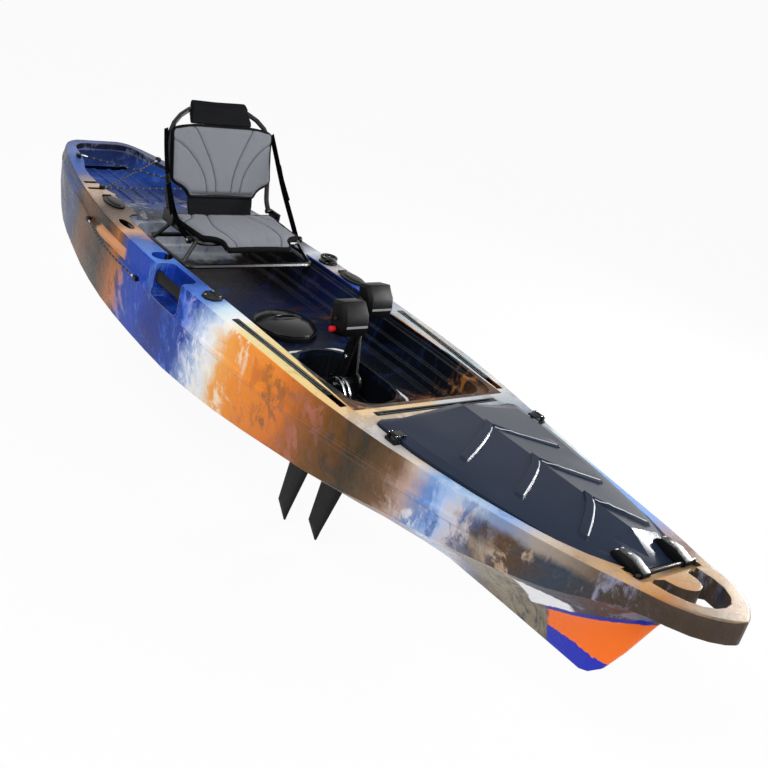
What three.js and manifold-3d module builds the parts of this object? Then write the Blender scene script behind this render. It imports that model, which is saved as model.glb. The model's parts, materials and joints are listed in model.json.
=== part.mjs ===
// Sit-on-top fishing kayak: a moulded double-skin hull with a hinged bow hatch,
// a framed seat, a fin pedal drive that is worked by the feet, and a steered rudder.
// Millimetres. X runs from stern to bow, Y to port and Z up.
// The origin is on the flat of the keel, half way along the hull.

import * as THREE from "three";
import { mergeVertices } from "three/addons/utils/BufferGeometryUtils.js";
import Module from "manifold-3d";

const wasm = await Module();
wasm.setup();

// Clearances

const touchGap = 0.3; // between pieces that rest on each other
const runningGap = 1; // round a shaft or a hub that turns
const overrun = 20; // how far a cutting shape reaches past what it cuts

// Hull

const hullLength = 4190;
const hullBeam = 904;
const hullDepth = 475; // keel to rim, amidships
const skin = 4; // moulded wall
const rimRound = 14; // radius of the rim's outer edge
const keelHalfWidth = 30;
const stemHalfWidth = 7;
const beltProud = 6; // moulded rubbing strake along the side
const beltHalfHeight = 9;
const sideBulge = 4;
const sternTuck = 48; // the rim stands this far forward of the transom's bulge
const sternTuckDepth = 90;

const halfBeam = hullBeam / 2;
const sternX = -hullLength / 2;
const bowX = hullLength / 2;

// Each row is a place along the length, from stern to bow, and a share of the half beam.
const planShares = [
  [0, 0.27], [0.004, 0.335], [0.0103, 0.385], [0.034, 0.476], [0.058, 0.553], [0.13, 0.73],
  [0.2, 0.852], [0.27, 0.94], [0.34, 0.978], [0.42, 1], [0.49, 1], [0.56, 0.99], [0.63, 0.962],
  [0.7, 0.88], [0.75, 0.8], [0.8, 0.715], [0.85, 0.625], [0.9, 0.515], [0.94, 0.4],
  [0.965, 0.34], [0.98, 0.265], [0.99, 0.18], [0.997, 0.09], [1, 0.02],
];
// These rows hold shares of the hull's depth.
const sheerShares = [
  [0, 1.063], [0.05, 1.05], [0.12, 1.025], [0.22, 1.005], [0.32, 1], [0.5, 1], [0.58, 0.99],
  [0.66, 0.968], [0.72, 0.955], [0.8, 0.957], [0.85, 0.972], [0.894, 0.992], [0.94, 1.015],
  [0.965, 1.035], [1, 1.053],
];
const chineShares = [
  [0, 0.5], [0.02, 0.4], [0.06, 0.32], [0.125, 0.26], [0.183, 0.19], [0.27, 0.147], [0.395, 0.115],
  [0.494, 0.166], [0.55, 0.22], [0.615, 0.293], [0.664, 0.341], [0.713, 0.417], [0.78, 0.49],
  [0.83, 0.57], [0.878, 0.665], [0.93, 0.82], [0.963, 0.874], [1, 0.886],
];
const keelShares = [
  [0, 0.42], [0.01, 0.3], [0.03, 0.16], [0.06, 0.07], [0.1, 0.02], [0.14, 0], [0.896, 0],
  [0.911, 0.086], [0.9406, 0.623], [0.954, 0.86], [0.965, 0.872], [1, 0.884],
];
const beltDropShares = [
  [0, 0.03], [0.1, 0.06], [0.17, 0.18], [0.25, 0.24], [0.4, 0.275], [0.5, 0.31], [0.57, 0.31],
  [0.63, 0.265], [0.72, 0.22], [0.8, 0.21], [0.85, 0.175], [0.9, 0.1], [0.93, 0.05], [1, 0.04],
];
// The chine's width as a share of the rim's, the keel's taper and the bottom's fullness.
const chineWidthShares = [[0, 0.86], [0.1, 0.9], [0.7, 0.9], [0.93, 0.93], [1, 0.93]];
const keelTaperShares = [[0, 1], [0.6, 1], [0.85, 0.1], [0.9, 0], [1, 0]];
const beltFadeShares = [[0, 0], [0.05, 1], [0.86, 1], [0.93, 0], [1, 0]];
const bottomPowerShares = [
  [0, 1.6], [0.15, 1.9], [0.5, 2.1], [0.65, 1.5], [0.75, 1], [0.85, 0.6], [0.93, 0.4], [1, 0.4],
];
const outerStationShares = [
  0, 0.004, 0.0103, 0.02, 0.034, 0.058, 0.09, 0.13, 0.165, 0.2, 0.24, 0.28, 0.32, 0.36, 0.4, 0.45,
  0.5, 0.55, 0.6, 0.64, 0.68, 0.72, 0.76, 0.8, 0.83, 0.86, 0.88, 0.896, 0.904, 0.914, 0.926, 0.9406,
  0.954, 0.965, 0.98, 0.99, 0.997, 1,
];
const hollowFromShare = 0.015;
const hollowToShare = 0.9;

// Cockpit, tank well and the deck between them

const rimWidth = 96;
const cockpitRear = -1072;
const cockpitFront = 714;
const cockpitHalfWidth = 346;
const cockpitCorner = 60;
const cockpitDepth = 165; // rim to floor
const cockpitFloor = hullDepth - cockpitDepth;
const shelfDrop = 25; // to the step that the seat's frame stands on
const shelfHeight = hullDepth - shelfDrop;
const shelfWidth = 32;
const wallStep = 12;
const wallStepDrops = [75, 120];
const wallStepHeights = wallStepDrops.map((drop) => hullDepth - drop);
const wallSlope = 4;
const floorFillet = 14;
const deckStepDrop = 40; // to the low deck behind the seat
const deckStepHeight = hullDepth - deckStepDrop;
const deckStepHalfWidth = 258;
const deckStepCorner = 30;
const tankSetback = 91; // from the transom
const tankRear = sternX + tankSetback;
const tankFront = -1292;
const tankDepth = 70;
const tankFloor = hullDepth - tankDepth;
const tankSlope = 34;
const tankCorner = 70;
const tankHalfWidth = 268;
const tankWidthShares = [[0, 0.56], [0.18, 0.66], [0.4, 0.8], [0.56, 0.97], [0.75, 1], [1, 0.97]];
const tankRibs = 5;
const tankRibLength = 480;
const tankRibWidth = 18;
const tankRibHeight = 6;
const drainLength = 70; // the oval dip at the foot of the stern wall
const drainWidth = 250;
const drainDepth = 12;

// Drive well: an open pan in the floor over a slot through the bottom

const panRear = 14;
const panFront = 474;
const panHalfWidth = 140;
const panCorner = 130;
const panDepth = 105;
const panFloor = cockpitFloor - panDepth;
const panSlope = 22;
const lipWidth = 18;
const lipHeight = 12;
const slotRear = 76;
const slotFront = 412;
const slotHalfWidth = 58;
const slotCorner = 50;

// Rim fittings: sockets, dishes, grooves, carry handles and gear tracks

const cupX = -600;
const cupY = 384;
const cupRadius = 44;
const cupDepth = 120;
const socketRadius = 24;
const socketDepth = 190;
const rodCapX = -1202;
const rodCapY = 310;
const rodCapLength = 150;
const rodCapWidth = 80;
const rodCapThickness = 12;
const portCapX = -312;
const portCapY = 390;
const dishX = -952;
const dishInset = 56; // from the rim's edge
const dishLength = 120;
const dishWidth = 46;
const dishDepth = 8;
const grooveXs = [-1462, -1385];
const grooveWidth = 24;
const grooveLength = 104;
const grooveDepth = 8;
const handleRear = -530;
const handleFront = -312;
const handleInner = 372;
const handlePocketDepth = 140;
const handleFloor = hullDepth - handlePocketDepth;
const portPocketDrop = 23; // the starboard pocket is open through the rim
const portPocketTop = hullDepth - portPocketDrop;
const handleCorner = 22;
const handleBarWidth = 22;
const handleBarHeight = 58;
const handleBarDrop = 29;
const handleBarTop = hullDepth - handleBarDrop;
const handleTab = 30;
const trackRear = 15;
const trackLength = 591;
const trackRearY = 403;
const trackFrontY = 376;
const trackWidth = 30;
const trackDepth = 8;
const trackSlotWidth = 9;
const trackSlotDepth = 5;
const trackProud = 1.5;
const trackOpenEnd = 80; // bare slot ahead of each track
const beamTrackAhead = 38; // of the cockpit
const beamTrackX = cockpitFront + beamTrackAhead;
const beamTrackHalfLength = 285;
const beamTrackWidth = 24;
const keeperRearX = -1238;
const keeperFrontX = -656;
const keeperRearDrop = 87;
const keeperRearZ = hullDepth - keeperRearDrop;
const keeperFrontDrop = 122;
const keeperFrontZ = hullDepth - keeperFrontDrop;
const keeperPadX = -955;
const keeperPadDrop = 77;
const keeperPadZ = hullDepth - keeperPadDrop;
const keeperPadLength = 368;
const keeperPadHeight = 52;
const keeperPadProud = 16;
const keeperPadSunk = 12;
const keeperCordSteps = 14;

// Bow hatch: rebate, opening and lid, flat over the sheer

const hatchAhead = 88; // of the cockpit
const hatchRear = cockpitFront + hatchAhead;
const hatchSetback = 322; // from the bow
const hatchFront = bowX - hatchSetback;
const hatchHalfWidth = 326;
const hatchWidthShares = [
  [0, 1], [0.185, 0.991], [0.4, 0.899], [0.615, 0.776], [0.795, 0.65], [0.9, 0.52], [1, 0.33],
];
const hatchApex = 18; // how far the middle of the rear edge stands forward of its corners
const hatchCorner = 26;
const rebateDepth = 29;
const rebateFloor = hullDepth - rebateDepth;
const rebateGap = 3;
const openingInset = 34;
const lidSeatDrop = 21; // underside of the lid's edge
const lidSeat = hullDepth - lidSeatDrop;
const lidEdge = 12;
const lidCrown = 58; // ridge over the edge
const lidBevel = 12;
const lidBevelWidth = 34;
const lidLip = 32;
const lidThickness = 7;
const lidNoseLength = 122;
const lidTailLength = 48;
const gasketWidth = 12;
const gasketInset = 14;
const chevronShares = [0.2, 0.437, 0.684]; // apexes, of the lid's length
const chevronSweep = 134;
const chevronBow = 0.75; // below 1, the legs bow forward
const chevronReachShare = 0.74; // of the lid's half width
const chevronWidth = 46;
const chevronProud = 8;
const hingeSetback = 291;
const hingeX = bowX - hingeSetback;
const hingeRise = 7;
const hingeZ = hullDepth + hingeRise;
const hingeRadius = 7;
const hingePocketSetback = 261;
const hingePocketFront = bowX - hingePocketSetback;
const hingePocketLength = 82;
const hingePocketRear = hingePocketFront - hingePocketLength;
const hingePocketHalfWidth = 142;
const hingePocketDepth = 11;
const hingePocketFloor = hullDepth - hingePocketDepth;
const hingeArmWidth = 36;
const hingeArmLength = 118;
const hingeArmHeight = 26;
const hingeArmInset = 6;
const hingeArmReach = 118;
const latchX = 921;
const latchBaseLength = 52;
const latchBaseWidth = 28;
const latchBaseHeight = 10;
const latchLeverGap = 1.3; // under the lever, over the lid
const latchLeverLength = 40;
const latchThickness = 8;

// Floor hatch

const floorHatchX = -202;
const floorHatchHole = 105;
const hatchRingRadius = 138;
const hatchRingBore = 108;
const hatchRingHeight = 22;
const floorLidRadius = 134;
const floorLidRim = 10;
const floorLidDome = 22;
const floorLidPlug = 104;
const floorLidPlugDepth = 14;
const floorLidGripLength = 120;
const floorLidGripWidth = 44;
const floorLidGripDepth = 12;
const floorLidBarWidth = 16;

// Accessory cap and steering control

const capX = -182;
const capY = 388;
const capRadius = 45;
const capHeight = 14;
const capSides = 8;
const steerX = -502;
const steerY = 393;
const steerPlateRadius = 42;
const steerPlateHeight = 8;
const steerRingRadius = 40;
const steerRingTube = 6;
const steerHubRadius = 12;
const steerHubHeight = 16;
const steerSpokeWidth = 10;

// Rudder

const rudderStandoff = 33;
const rudderPinX = sternX - rudderStandoff;
const rudderTopDrop = 43;
const rudderTop = hullDepth - rudderTopDrop;
const rudderBottomDrop = 153;
const rudderBottom = hullDepth - rudderBottomDrop;
const rudderLug = 16;
const rudderLugWidth = 34;
const rudderPlateThickness = 9;
const rudderPinRadius = 6;
const rudderHubRadius = 13;
const rudderBladeThickness = 9;
const rudderBladeReach = 118;
const rudderBladeNeck = 60;
const rudderBladeFoot = -18;

// Cords and the eyes that hold them

const cordRadius = 3;
const eyeLength = 26;
const eyeHeight = 18;
const eyeStand = 16;
const tankEyeSetback = 214;
const tankEyeRearX = tankRear + tankEyeSetback;
const tankEyeFrontX = -1380;
const tankEyeHeight = 18;
const tankEyeOffset = 20; // outboard of the well's edge
const cordCross = 10; // height between the cords where they cross

// Pedal drive

const crankX = 240;
const crankDrop = 25;
const crankZ = cockpitFloor - crankDrop;
const crankLength = 325;
const crankRest = 12; // degrees either side of upright
const crankAxleRadius = 10;
const crankArmThickness = 12;
const crankArmY = 36; // inner face
const crankArmFoot = 25;
const crankArmHead = 16;
const crankTeeth = 9;
const crankToothDepth = 4;
const crankTeethFromShare = 0.3;
const crankTeethToShare = 0.72;
const drumRadius = 50;
const drumRound = 7; // pins on each drum's rim
const drumPinRadius = 3.5;
const drumPinLength = 8;
const spindleRadius = 6;
const spindleLength = 132;
const pedalWidth = 120;
const pedalHeight = 128;
const pedalDepth = 96;
const pedalGap = 3; // to the arm
const pedalLean = 14; // degrees aft
const pedalTopShare = 0.5;
const pedalPinRadius = 4;
const pedalPinHead = 11;
const pedalPinHeadLength = 20;
const pedalPinShank = 24;
const pedalPinDrop = 42;
const plateMargin = 24;
const plateThickness = 14;
const housingRear = 120;
const housingFront = 420;
const housingHalfWidth = 30;
const housingDrop = 33;
const housingTop = crankZ - housingDrop;
const towerLength = 84;
const towerTopRadius = 24;
const legLength = 44;
const legHalfWidth = 22;
const finAxisZ = -26;
const finShaftRadius = 8;
const finShaftRear = 96;
const finShaftFront = 428;
const finHubRadius = 24;
const finHubLength = 44;
const finHubXs = [178, 396]; // rear, front
const mastRadius = 5;
const mastLength = 240;
const finRoot = -62;
const finThickness = 20;
const finTip = -440;
const finChord = 146;
const finRake = 100; // how far the leading edge runs aft, root to tip
const finLead = 12; // leading edge ahead of the mast's hub
const finTipRise = 40; // the front fin's tip is this much higher
const finKneeShare = 0.84;

// Seat

const tubeRadius = 11;
const tubeBend = 42;
const seatLegRadius = 9;
const sleeveProud = 1; // a sleeve joins each loop of tube behind
const baseFront = -512;
const baseRear = -872;
const baseHalfWidth = 318;
const panFrontX = -551;
const panRearX = -808;
const panTubeHalfWidth = 255;
const panTubeRise = 97;
const panTubeZ = shelfHeight + panTubeRise;
const seatHingeX = -825;
const seatHingeRise = 142;
const seatHingeZ = shelfHeight + seatHingeRise;
const backRecline = 16; // degrees from upright
const hingeFootRadius = 11;
const hingeFootLength = 24;
const hingePinRadius = 5;
const lugThickness = 8;
const backTubeHalfWidth = 252;
const backTubeSet = 20; // the back's tube stands this far behind the hinge
const backTubeKick = 42;
const backShoulder = 350;
const backCrownHeight = 438;
const backCrownHalfWidth = 130;
const backCrownSet = 48;
const padThickness = 20;
const padCrown = 8;
const padRearX = -812;
const padRearHalfWidth = 262;
const padFrontHalfWidth = 246;
const padNoseHalfWidth = 163;
const padNoseX = -474;
const padNoseDrop = 26;
const padEdgeShare = 0.5; // of the thickness, left at the sewn edge
const padSeamDepth = 5;
const backPadBottom = 50;
const backPadTop = 361;
const backPadFootHalfWidth = 168;
const backPadHalfWidth = 254;
const backPadHeadHalfWidth = 138;
const backPadFlare = 68; // height over which the foot widens
const backPadShoulder = 18; // height over which the head narrows
const backPadThickness = 20;
const backPadCrown = 8;
const headPanelHalfWidth = 142;
const headPanelFootHalfWidth = 156;
const headPanelFrom = 365;
const headPanelTo = 458;
const headPanelHem = 18;
const headPanelThickness = 34;
const headPanelWrap = 18;
const lumbarHalfWidth = 160;
const lumbarFrom = -32;
const lumbarThickness = 7;
const strapWidth = 26;
const strapThickness = 3;
const strapSagShare = 0.03;
const buckleLength = 34;
const buckleWidth = 36;
const buckleThickness = 9;
const buckleShare = 0.27;
const knobRadius = 17;
const knobLength = 18;

// Bow loop

const loopSetback = 72;
const loopFront = bowX - loopSetback;
const loopLength = 197;
const loopRear = loopFront - loopLength;
const loopBand = 74; // from the rim's edge to the hole
const prongSetback = 93;
const prongTip = loopFront - prongSetback;
const prongHalfWidth = 56;
const loopSteps = 10;

const TURN = 2 * Math.PI;
const QUARTER = Math.PI / 2;
const clamp = THREE.MathUtils.clamp;
const degrees = THREE.MathUtils.degToRad;

// Geometry helpers

// A smooth curve through rows of two numbers that never overshoots them.
function curveThrough(rows) {
  const slopes = rows.slice(1).map((row, i) => (row[1] - rows[i][1]) / (row[0] - rows[i][0]));
  const tangents = rows.map((row, i) => {
    const before = slopes[Math.max(i - 1, 0)];
    const after = slopes[Math.min(i, slopes.length - 1)];
    return before * after <= 0 ? 0 : (2 * before * after) / (before + after);
  });
  return (place) => {
    const inside = clamp(place, rows[0][0], rows[rows.length - 1][0]);
    let i = 0;
    while (i < rows.length - 2 && inside > rows[i + 1][0]) i += 1;
    const span = rows[i + 1][0] - rows[i][0];
    const t = (inside - rows[i][0]) / span;
    const rise = rows[i + 1][1] - rows[i][1];
    const bend = span * tangents[i] * t * (1 - t) * (1 - t);
    const ease = span * tangents[i + 1] * t * t * (t - 1);
    return rows[i][1] + rise * t * t * (3 - 2 * t) + bend + ease;
  };
}

// A closed solid from a geometry. Faces that lost their area are dropped.
function solidOf(geometry) {
  const bare = geometry.clone();
  bare.deleteAttribute("normal");
  bare.deleteAttribute("uv");
  const merged = mergeVertices(bare, 1e-3);
  const corners = merged.index.array;
  const kept = [];
  for (let i = 0; i < corners.length; i += 3) {
    const [a, b, c] = corners.slice(i, i + 3);
    if (a !== b && b !== c && c !== a) kept.push(a, b, c);
  }
  const vertProperties = merged.attributes.position.array;
  const build = (order) =>
    new wasm.Manifold(new wasm.Mesh({ numProp: 3, vertProperties, triVerts: Uint32Array.from(order) }));
  const solid = build(kept);
  return solid.volume() < 0 ? build(kept.reverse()) : solid;
}

function geometryOf(solid) {
  const mesh = solid.getMesh();
  const geometry = new THREE.BufferGeometry();
  const places = new Float32Array(mesh.numVert * 3);
  for (let i = 0; i < mesh.numVert; i += 1) {
    places.set(mesh.vertProperties.subarray(i * mesh.numProp, i * mesh.numProp + 3), i * 3);
  }
  geometry.setAttribute("position", new THREE.BufferAttribute(places, 3));
  geometry.setIndex(new THREE.BufferAttribute(mesh.triVerts, 1));
  geometry.computeVertexNormals();
  return geometry;
}

// Skins rings of equal point counts into one closed solid, with flat ends unless it is looped.
function loft(rings, looped = false) {
  const count = rings[0].length;
  const places = rings.flat().flatMap((point) => point.toArray());
  const faces = [];
  const bands = looped ? rings.length : rings.length - 1;
  for (let band = 0; band < bands; band += 1) {
    const near = band * count;
    const far = ((band + 1) % rings.length) * count;
    for (let step = 0; step < count; step += 1) {
      const next = (step + 1) % count;
      faces.push(near + step, near + next, far + next);
      faces.push(near + step, far + next, far + step);
    }
  }
  if (!looped) {
    const last = (rings.length - 1) * count;
    endFaces(rings[0]).forEach(([a, b, c]) => faces.push(a, c, b));
    endFaces(rings[rings.length - 1]).forEach(([a, b, c]) => faces.push(last + a, last + b, last + c));
  }
  const geometry = new THREE.BufferGeometry();
  geometry.setAttribute("position", new THREE.Float32BufferAttribute(places, 3));
  geometry.setIndex(faces);
  return solidOf(geometry);
}

// Triangles over a flat ring, seen along the axis that it faces most.
function endFaces(ring) {
  const area = new THREE.Vector3();
  ring.forEach((point, i) => area.add(point.clone().cross(ring[(i + 1) % ring.length])));
  const sizes = area.toArray().map(Math.abs);
  const axis = sizes.indexOf(Math.max(...sizes));
  const [across, along] = [["y", "z"], ["z", "x"], ["x", "y"]][axis];
  const flat = ring.map((point) => new THREE.Vector2(point[across], point[along]));
  const turnedOver = THREE.ShapeUtils.isClockWise(flat);
  const order = flat.map((point, i) => i);
  if (turnedOver) order.reverse();
  const faces = THREE.ShapeUtils.triangulateShape(order.map((i) => flat[i]), []);
  return faces.map((face) => {
    const named = face.map((i) => order[i]);
    return turnedOver ? named.reverse() : named;
  });
}

const moved = (solid, x, y, z) => solid.translate([x, y, z]);
const joined = (...solids) => solids.reduce((whole, solid) => whole.add(solid));
const without = (solid, ...tools) => tools.reduce((left, tool) => left.subtract(tool), solid);

function placed(solid, matrix) {
  return solid.transform(matrix.toArray());
}

const mirrored = (solid) => placed(solid, new THREE.Matrix4().makeScale(1, -1, 1));

// Hull form

const sheerAt = curveThrough(sheerShares);
const chineAt = curveThrough(chineShares);
const keelAt = curveThrough(keelShares);
const planAt = curveThrough(planShares);
const beltDropAt = curveThrough(beltDropShares);
const chineWidthAt = curveThrough(chineWidthShares);
const keelTaperAt = curveThrough(keelTaperShares);
const beltFadeAt = curveThrough(beltFadeShares);
const bottomPowerAt = curveThrough(bottomPowerShares);

const stationOf = (x) => x / hullLength + 1 / 2;
const rimHalfWidthAt = (x) => halfBeam * planAt(stationOf(x));

// The deck's height as the hull's own stations draw it, straight from one to the next.
function deckAt(x) {
  const place = clamp(stationOf(x), 0, 1);
  let i = 0;
  while (i < outerStationShares.length - 2 && place > outerStationShares[i + 1]) i += 1;
  const [near, far] = [outerStationShares[i], outerStationShares[i + 1]];
  const share = (place - near) / (far - near);
  return hullDepth * THREE.MathUtils.lerp(sheerAt(near), sheerAt(far), share);
}

// Half of the hull's section at a station, from the deck's middle down to the keel.
function halfSection(station, inset = 0) {
  const x = (station - 1 / 2) * hullLength;
  const width = halfBeam * planAt(station) - inset;
  const rim = hullDepth * sheerAt(station) - inset;
  const chine = Math.min(hullDepth * chineAt(station) + inset / 2, rim - rimRound - inset);
  const keel = Math.min(hullDepth * keelAt(station) + inset, chine);
  const chineWidth = width * chineWidthAt(station);
  const keelWide = THREE.MathUtils.lerp(stemHalfWidth, keelHalfWidth, keelTaperAt(station)) - inset;
  const keelWidth = Math.min(keelWide, chineWidth / 2);
  const round = Math.min(rimRound, width / 2);
  const sideTop = rim - round;
  const sideDrop = sideTop - chine;
  const proud = inset > 0 ? 0 : beltProud * beltFadeAt(station);
  const sideAt = (t) => {
    const lean = (chineWidth - width) * t * t;
    return width + lean + sideBulge * 4 * t * (1 - t) * beltFadeAt(station);
  };
  const beltSpread = Math.min(beltHalfHeight / sideDrop, 1 / 12);
  const beltPlace = clamp((hullDepth * beltDropAt(station) - round) / sideDrop, 1 / 6, 5 / 6);
  const side = (t, out = 0) => [sideAt(t) + out, sideTop - sideDrop * t];
  const power = bottomPowerAt(station);
  const bottom = (s) => [
    keelWidth + (chineWidth - keelWidth) * s,
    keel + (chine - keel) * s ** power,
  ];
  const corner = round * (1 - Math.SQRT1_2);
  const points = [
    [0, rim],
    [width - round, rim],
    [width - corner, rim - corner],
    side(0),
    side(beltPlace - 2 * beltSpread),
    side(beltPlace - beltSpread, proud),
    side(beltPlace + beltSpread, proud),
    side(beltPlace + 2 * beltSpread),
    side((1 + beltPlace + 2 * beltSpread) / 2),
    side(1),
    bottom(0.86),
    bottom(0.66),
    bottom(0.42),
    bottom(0.2),
    bottom(0),
    [0, keel],
  ];
  const tuck = sternTuck * clamp(1 - station / 0.04, 0, 1);
  return points.map(([y, z]) => {
    const raised = clamp((z - rim + sternTuckDepth) / sternTuckDepth, 0, 1);
    return new THREE.Vector3(x + tuck * raised, y, z);
  });
}

function hullRing(station, inset) {
  const half = halfSection(station, inset);
  const other = half.slice(1, -1).reverse();
  return [...half, ...other.map((point) => new THREE.Vector3(point.x, -point.y, point.z))];
}

const outerHull = () => loft(outerStationShares.map((station) => hullRing(station, 0)));

// The space inside the skin. The bow ahead of it is moulded solid.
function innerVoid() {
  const inside = outerStationShares.filter((share) => share > hollowFromShare && share < hollowToShare);
  return loft(inside.map((station) => hullRing(station, skin)));
}

// How far out the bare side stands at a place along the hull and a height.
function sideHalfWidthAt(x, height) {
  const half = halfSection(stationOf(x)).slice(3);
  let i = 0;
  while (i < half.length - 2 && half[i + 1].z > height) i += 1;
  const share = (height - half[i].z) / (half[i + 1].z - half[i].z);
  return THREE.MathUtils.lerp(half[i].y, half[i + 1].y, clamp(share, 0, 1));
}

// Deck and recess shapes

const cornerSteps = 3;

// One side of a plan outline: straight ends, round corners and a side that follows a width.
function halfOutline({ rear, front, halfWidthAt, corner, sideSteps }, inset) {
  const back = rear + inset;
  const fore = front - inset;
  const round = Math.min(corner, (fore - back) / 3);
  const at = (x, drop) => {
    const width = halfWidthAt(x) - inset;
    return [x, width - Math.min(round, width * 0.9) * drop];
  };
  const turn = (step) => (step / cornerSteps) * QUARTER;
  const steps = [...Array(cornerSteps + 1).keys()];
  const tail = steps.map((step) => at(back + round * (1 - Math.cos(turn(step))), 1 - Math.sin(turn(step))));
  const nose = steps.map((step) => at(fore - round * (1 - Math.sin(turn(step))), 1 - Math.cos(turn(step))));
  const run = [...Array(Math.max(sideSteps - 1, 0)).keys()].map((step) =>
    at(THREE.MathUtils.lerp(back + round, fore - round, (step + 1) / sideSteps), 0),
  );
  return [...tail, ...run, ...nose];
}

// A whole plan outline at one height.
function outlineRing(shape, inset, height) {
  const half = halfOutline(shape, inset);
  const other = half.map(([x, y]) => [x, -y]).reverse();
  return [...half, ...other].map(([x, y]) => new THREE.Vector3(x, y, height));
}

// A recess from rows of height and inset, highest first. It can be grown by a wall all round.
function well(shape, levels, grow = 0) {
  return loft(levels.map(([height, inset]) => outlineRing(shape, inset - grow, height - grow)));
}

function box(length, width, height) {
  return solidOf(new THREE.BoxGeometry(length, width, height));
}

// A cylinder along the axis named, centred.
function cylinder(radius, length, axis = "z", sides = 24, farRadius = radius) {
  const geometry = new THREE.CylinderGeometry(farRadius, radius, length, sides);
  if (axis === "z") geometry.rotateX(QUARTER);
  if (axis === "x") geometry.rotateZ(-QUARTER);
  return solidOf(geometry);
}

// An upright disc with its own length and width.
function ovalDisc(length, width, height, sides = 24) {
  const round = cylinder(length / 2, height, "z", sides);
  return round.scale([1, width / length, 1]);
}

// An outline in X and Y raised to a height, with an optional hole.
function slab(points, height, hole) {
  const shape = new THREE.Shape(points.map(([x, y]) => new THREE.Vector2(x, y)));
  if (hole) shape.holes.push(new THREE.Path(hole.map(([x, y]) => new THREE.Vector2(x, y))));
  return solidOf(new THREE.ExtrudeGeometry(shape, { depth: height, bevelEnabled: false }));
}

const aboveDeck = hullDepth * 1.08 + overrun;

const cockpitShape = {
  rear: cockpitRear,
  front: cockpitFront,
  halfWidthAt: (x) => Math.min(rimHalfWidthAt(x) - rimWidth, cockpitHalfWidth),
  corner: cockpitCorner,
  sideSteps: 6,
};
const cockpitLevels = [[aboveDeck, 0], [shelfHeight, 0], [shelfHeight - touchGap, shelfWidth]];
wallStepHeights.forEach((height, i) => {
  const inset = shelfWidth + i * (wallStep + wallSlope) + wallSlope;
  cockpitLevels.push([height, inset], [height - wallSlope, inset + wallStep]);
});
const cockpitFoot = shelfWidth + wallStepHeights.length * (wallStep + wallSlope) + wallSlope;
cockpitLevels.push([cockpitFloor + floorFillet, cockpitFoot]);
cockpitLevels.push([cockpitFloor, cockpitFoot + floorFillet]);

const deckStepShape = {
  rear: tankFront - deckStepCorner,
  front: cockpitRear + deckStepCorner,
  halfWidthAt: () => deckStepHalfWidth,
  corner: deckStepCorner,
  sideSteps: 1,
};
const deckStepLevels = [[aboveDeck, 0], [deckStepHeight, 0]];

const tankWidthAt = curveThrough(tankWidthShares);
const tankShape = {
  rear: tankRear,
  front: tankFront,
  halfWidthAt: (x) => tankHalfWidth * tankWidthAt((x - tankRear) / (tankFront - tankRear)),
  corner: tankCorner,
  sideSteps: 6,
};
const tankLevels = [
  [aboveDeck, 0],
  [hullDepth, 0],
  [tankFloor + floorFillet, tankSlope],
  [tankFloor, tankSlope + floorFillet],
];

const panShape = {
  rear: panRear,
  front: panFront,
  halfWidthAt: () => panHalfWidth,
  corner: panCorner,
  sideSteps: 1,
};
const panLevels = [[cockpitFloor + lipHeight + overrun, 0], [cockpitFloor, 0], [panFloor, panSlope]];
const slotShape = {
  rear: slotRear,
  front: slotFront,
  halfWidthAt: () => slotHalfWidth,
  corner: slotCorner,
  sideSteps: 1,
};
const slotLevels = [[panFloor + overrun, 0], [-overrun, 0]];

const hatchLength = hatchFront - hatchRear;
const hatchWidthAt = curveThrough(hatchWidthShares);
const hatchShape = {
  rear: hatchRear,
  front: hatchFront,
  halfWidthAt: (x) => hatchHalfWidth * hatchWidthAt((x - hatchRear) / hatchLength),
  corner: hatchCorner,
  sideSteps: 10,
};
const rebateLevels = [[aboveDeck, -rebateGap], [rebateFloor, -rebateGap]];
const openingLevels = [[aboveDeck, openingInset], [cockpitFloor, openingInset]];

// The hole of the bow loop in plan: a crescent round a prong.
function loopOutline() {
  const outer = [];
  for (let step = 0; step <= loopSteps; step += 1) {
    const angle = (step / loopSteps) * Math.PI - QUARTER;
    const x = loopRear + (loopFront - loopRear) * Math.cos(angle) ** 0.8;
    const reach = rimHalfWidthAt(loopRear) - loopBand;
    outer.push([x, reach * Math.sin(angle)]);
  }
  const prong = [];
  for (let step = 0; step <= loopSteps; step += 1) {
    const angle = QUARTER - (step / loopSteps) * Math.PI;
    const x = loopRear + overrun + (prongTip - loopRear - overrun) * Math.cos(angle) ** 0.7;
    prong.push([x, prongHalfWidth * Math.sin(angle) * (1 - 0.15 * Math.cos(angle))]);
  }
  return [...outer, ...prong];
}

// A carry handle's pocket, drawn in the starboard side and open outwards up to a height.
function handlePocket(top, grow = 0) {
  const outline = (inset, height) => {
    const back = handleRear + inset - grow;
    const fore = handleFront - inset + grow;
    const inner = -handleInner - inset + grow;
    const edge = -halfBeam - overrun;
    const round = handleCorner;
    return [
      [back, edge], [fore, edge], [fore, inner - round], [fore - round, inner],
      [back + round, inner], [back, inner - round],
    ].map(([x, y]) => new THREE.Vector3(x, y, height));
  };
  return loft([
    outline(0, top + grow),
    outline(0, handleFloor + floorFillet - grow),
    outline(floorFillet, handleFloor - grow),
  ]);
}

// A line along the deck from one plan point to another, as a frame with X along it.
function deckFrame([x1, y1], [x2, y2]) {
  const start = new THREE.Vector3(x1, y1, deckAt(x1));
  const end = new THREE.Vector3(x2, y2, deckAt(x2));
  const along = end.clone().sub(start).normalize();
  const across = new THREE.Vector3(0, 0, 1).cross(along).normalize();
  const up = along.clone().cross(across);
  return new THREE.Matrix4().makeBasis(along, across, up).setPosition(start);
}

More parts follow.
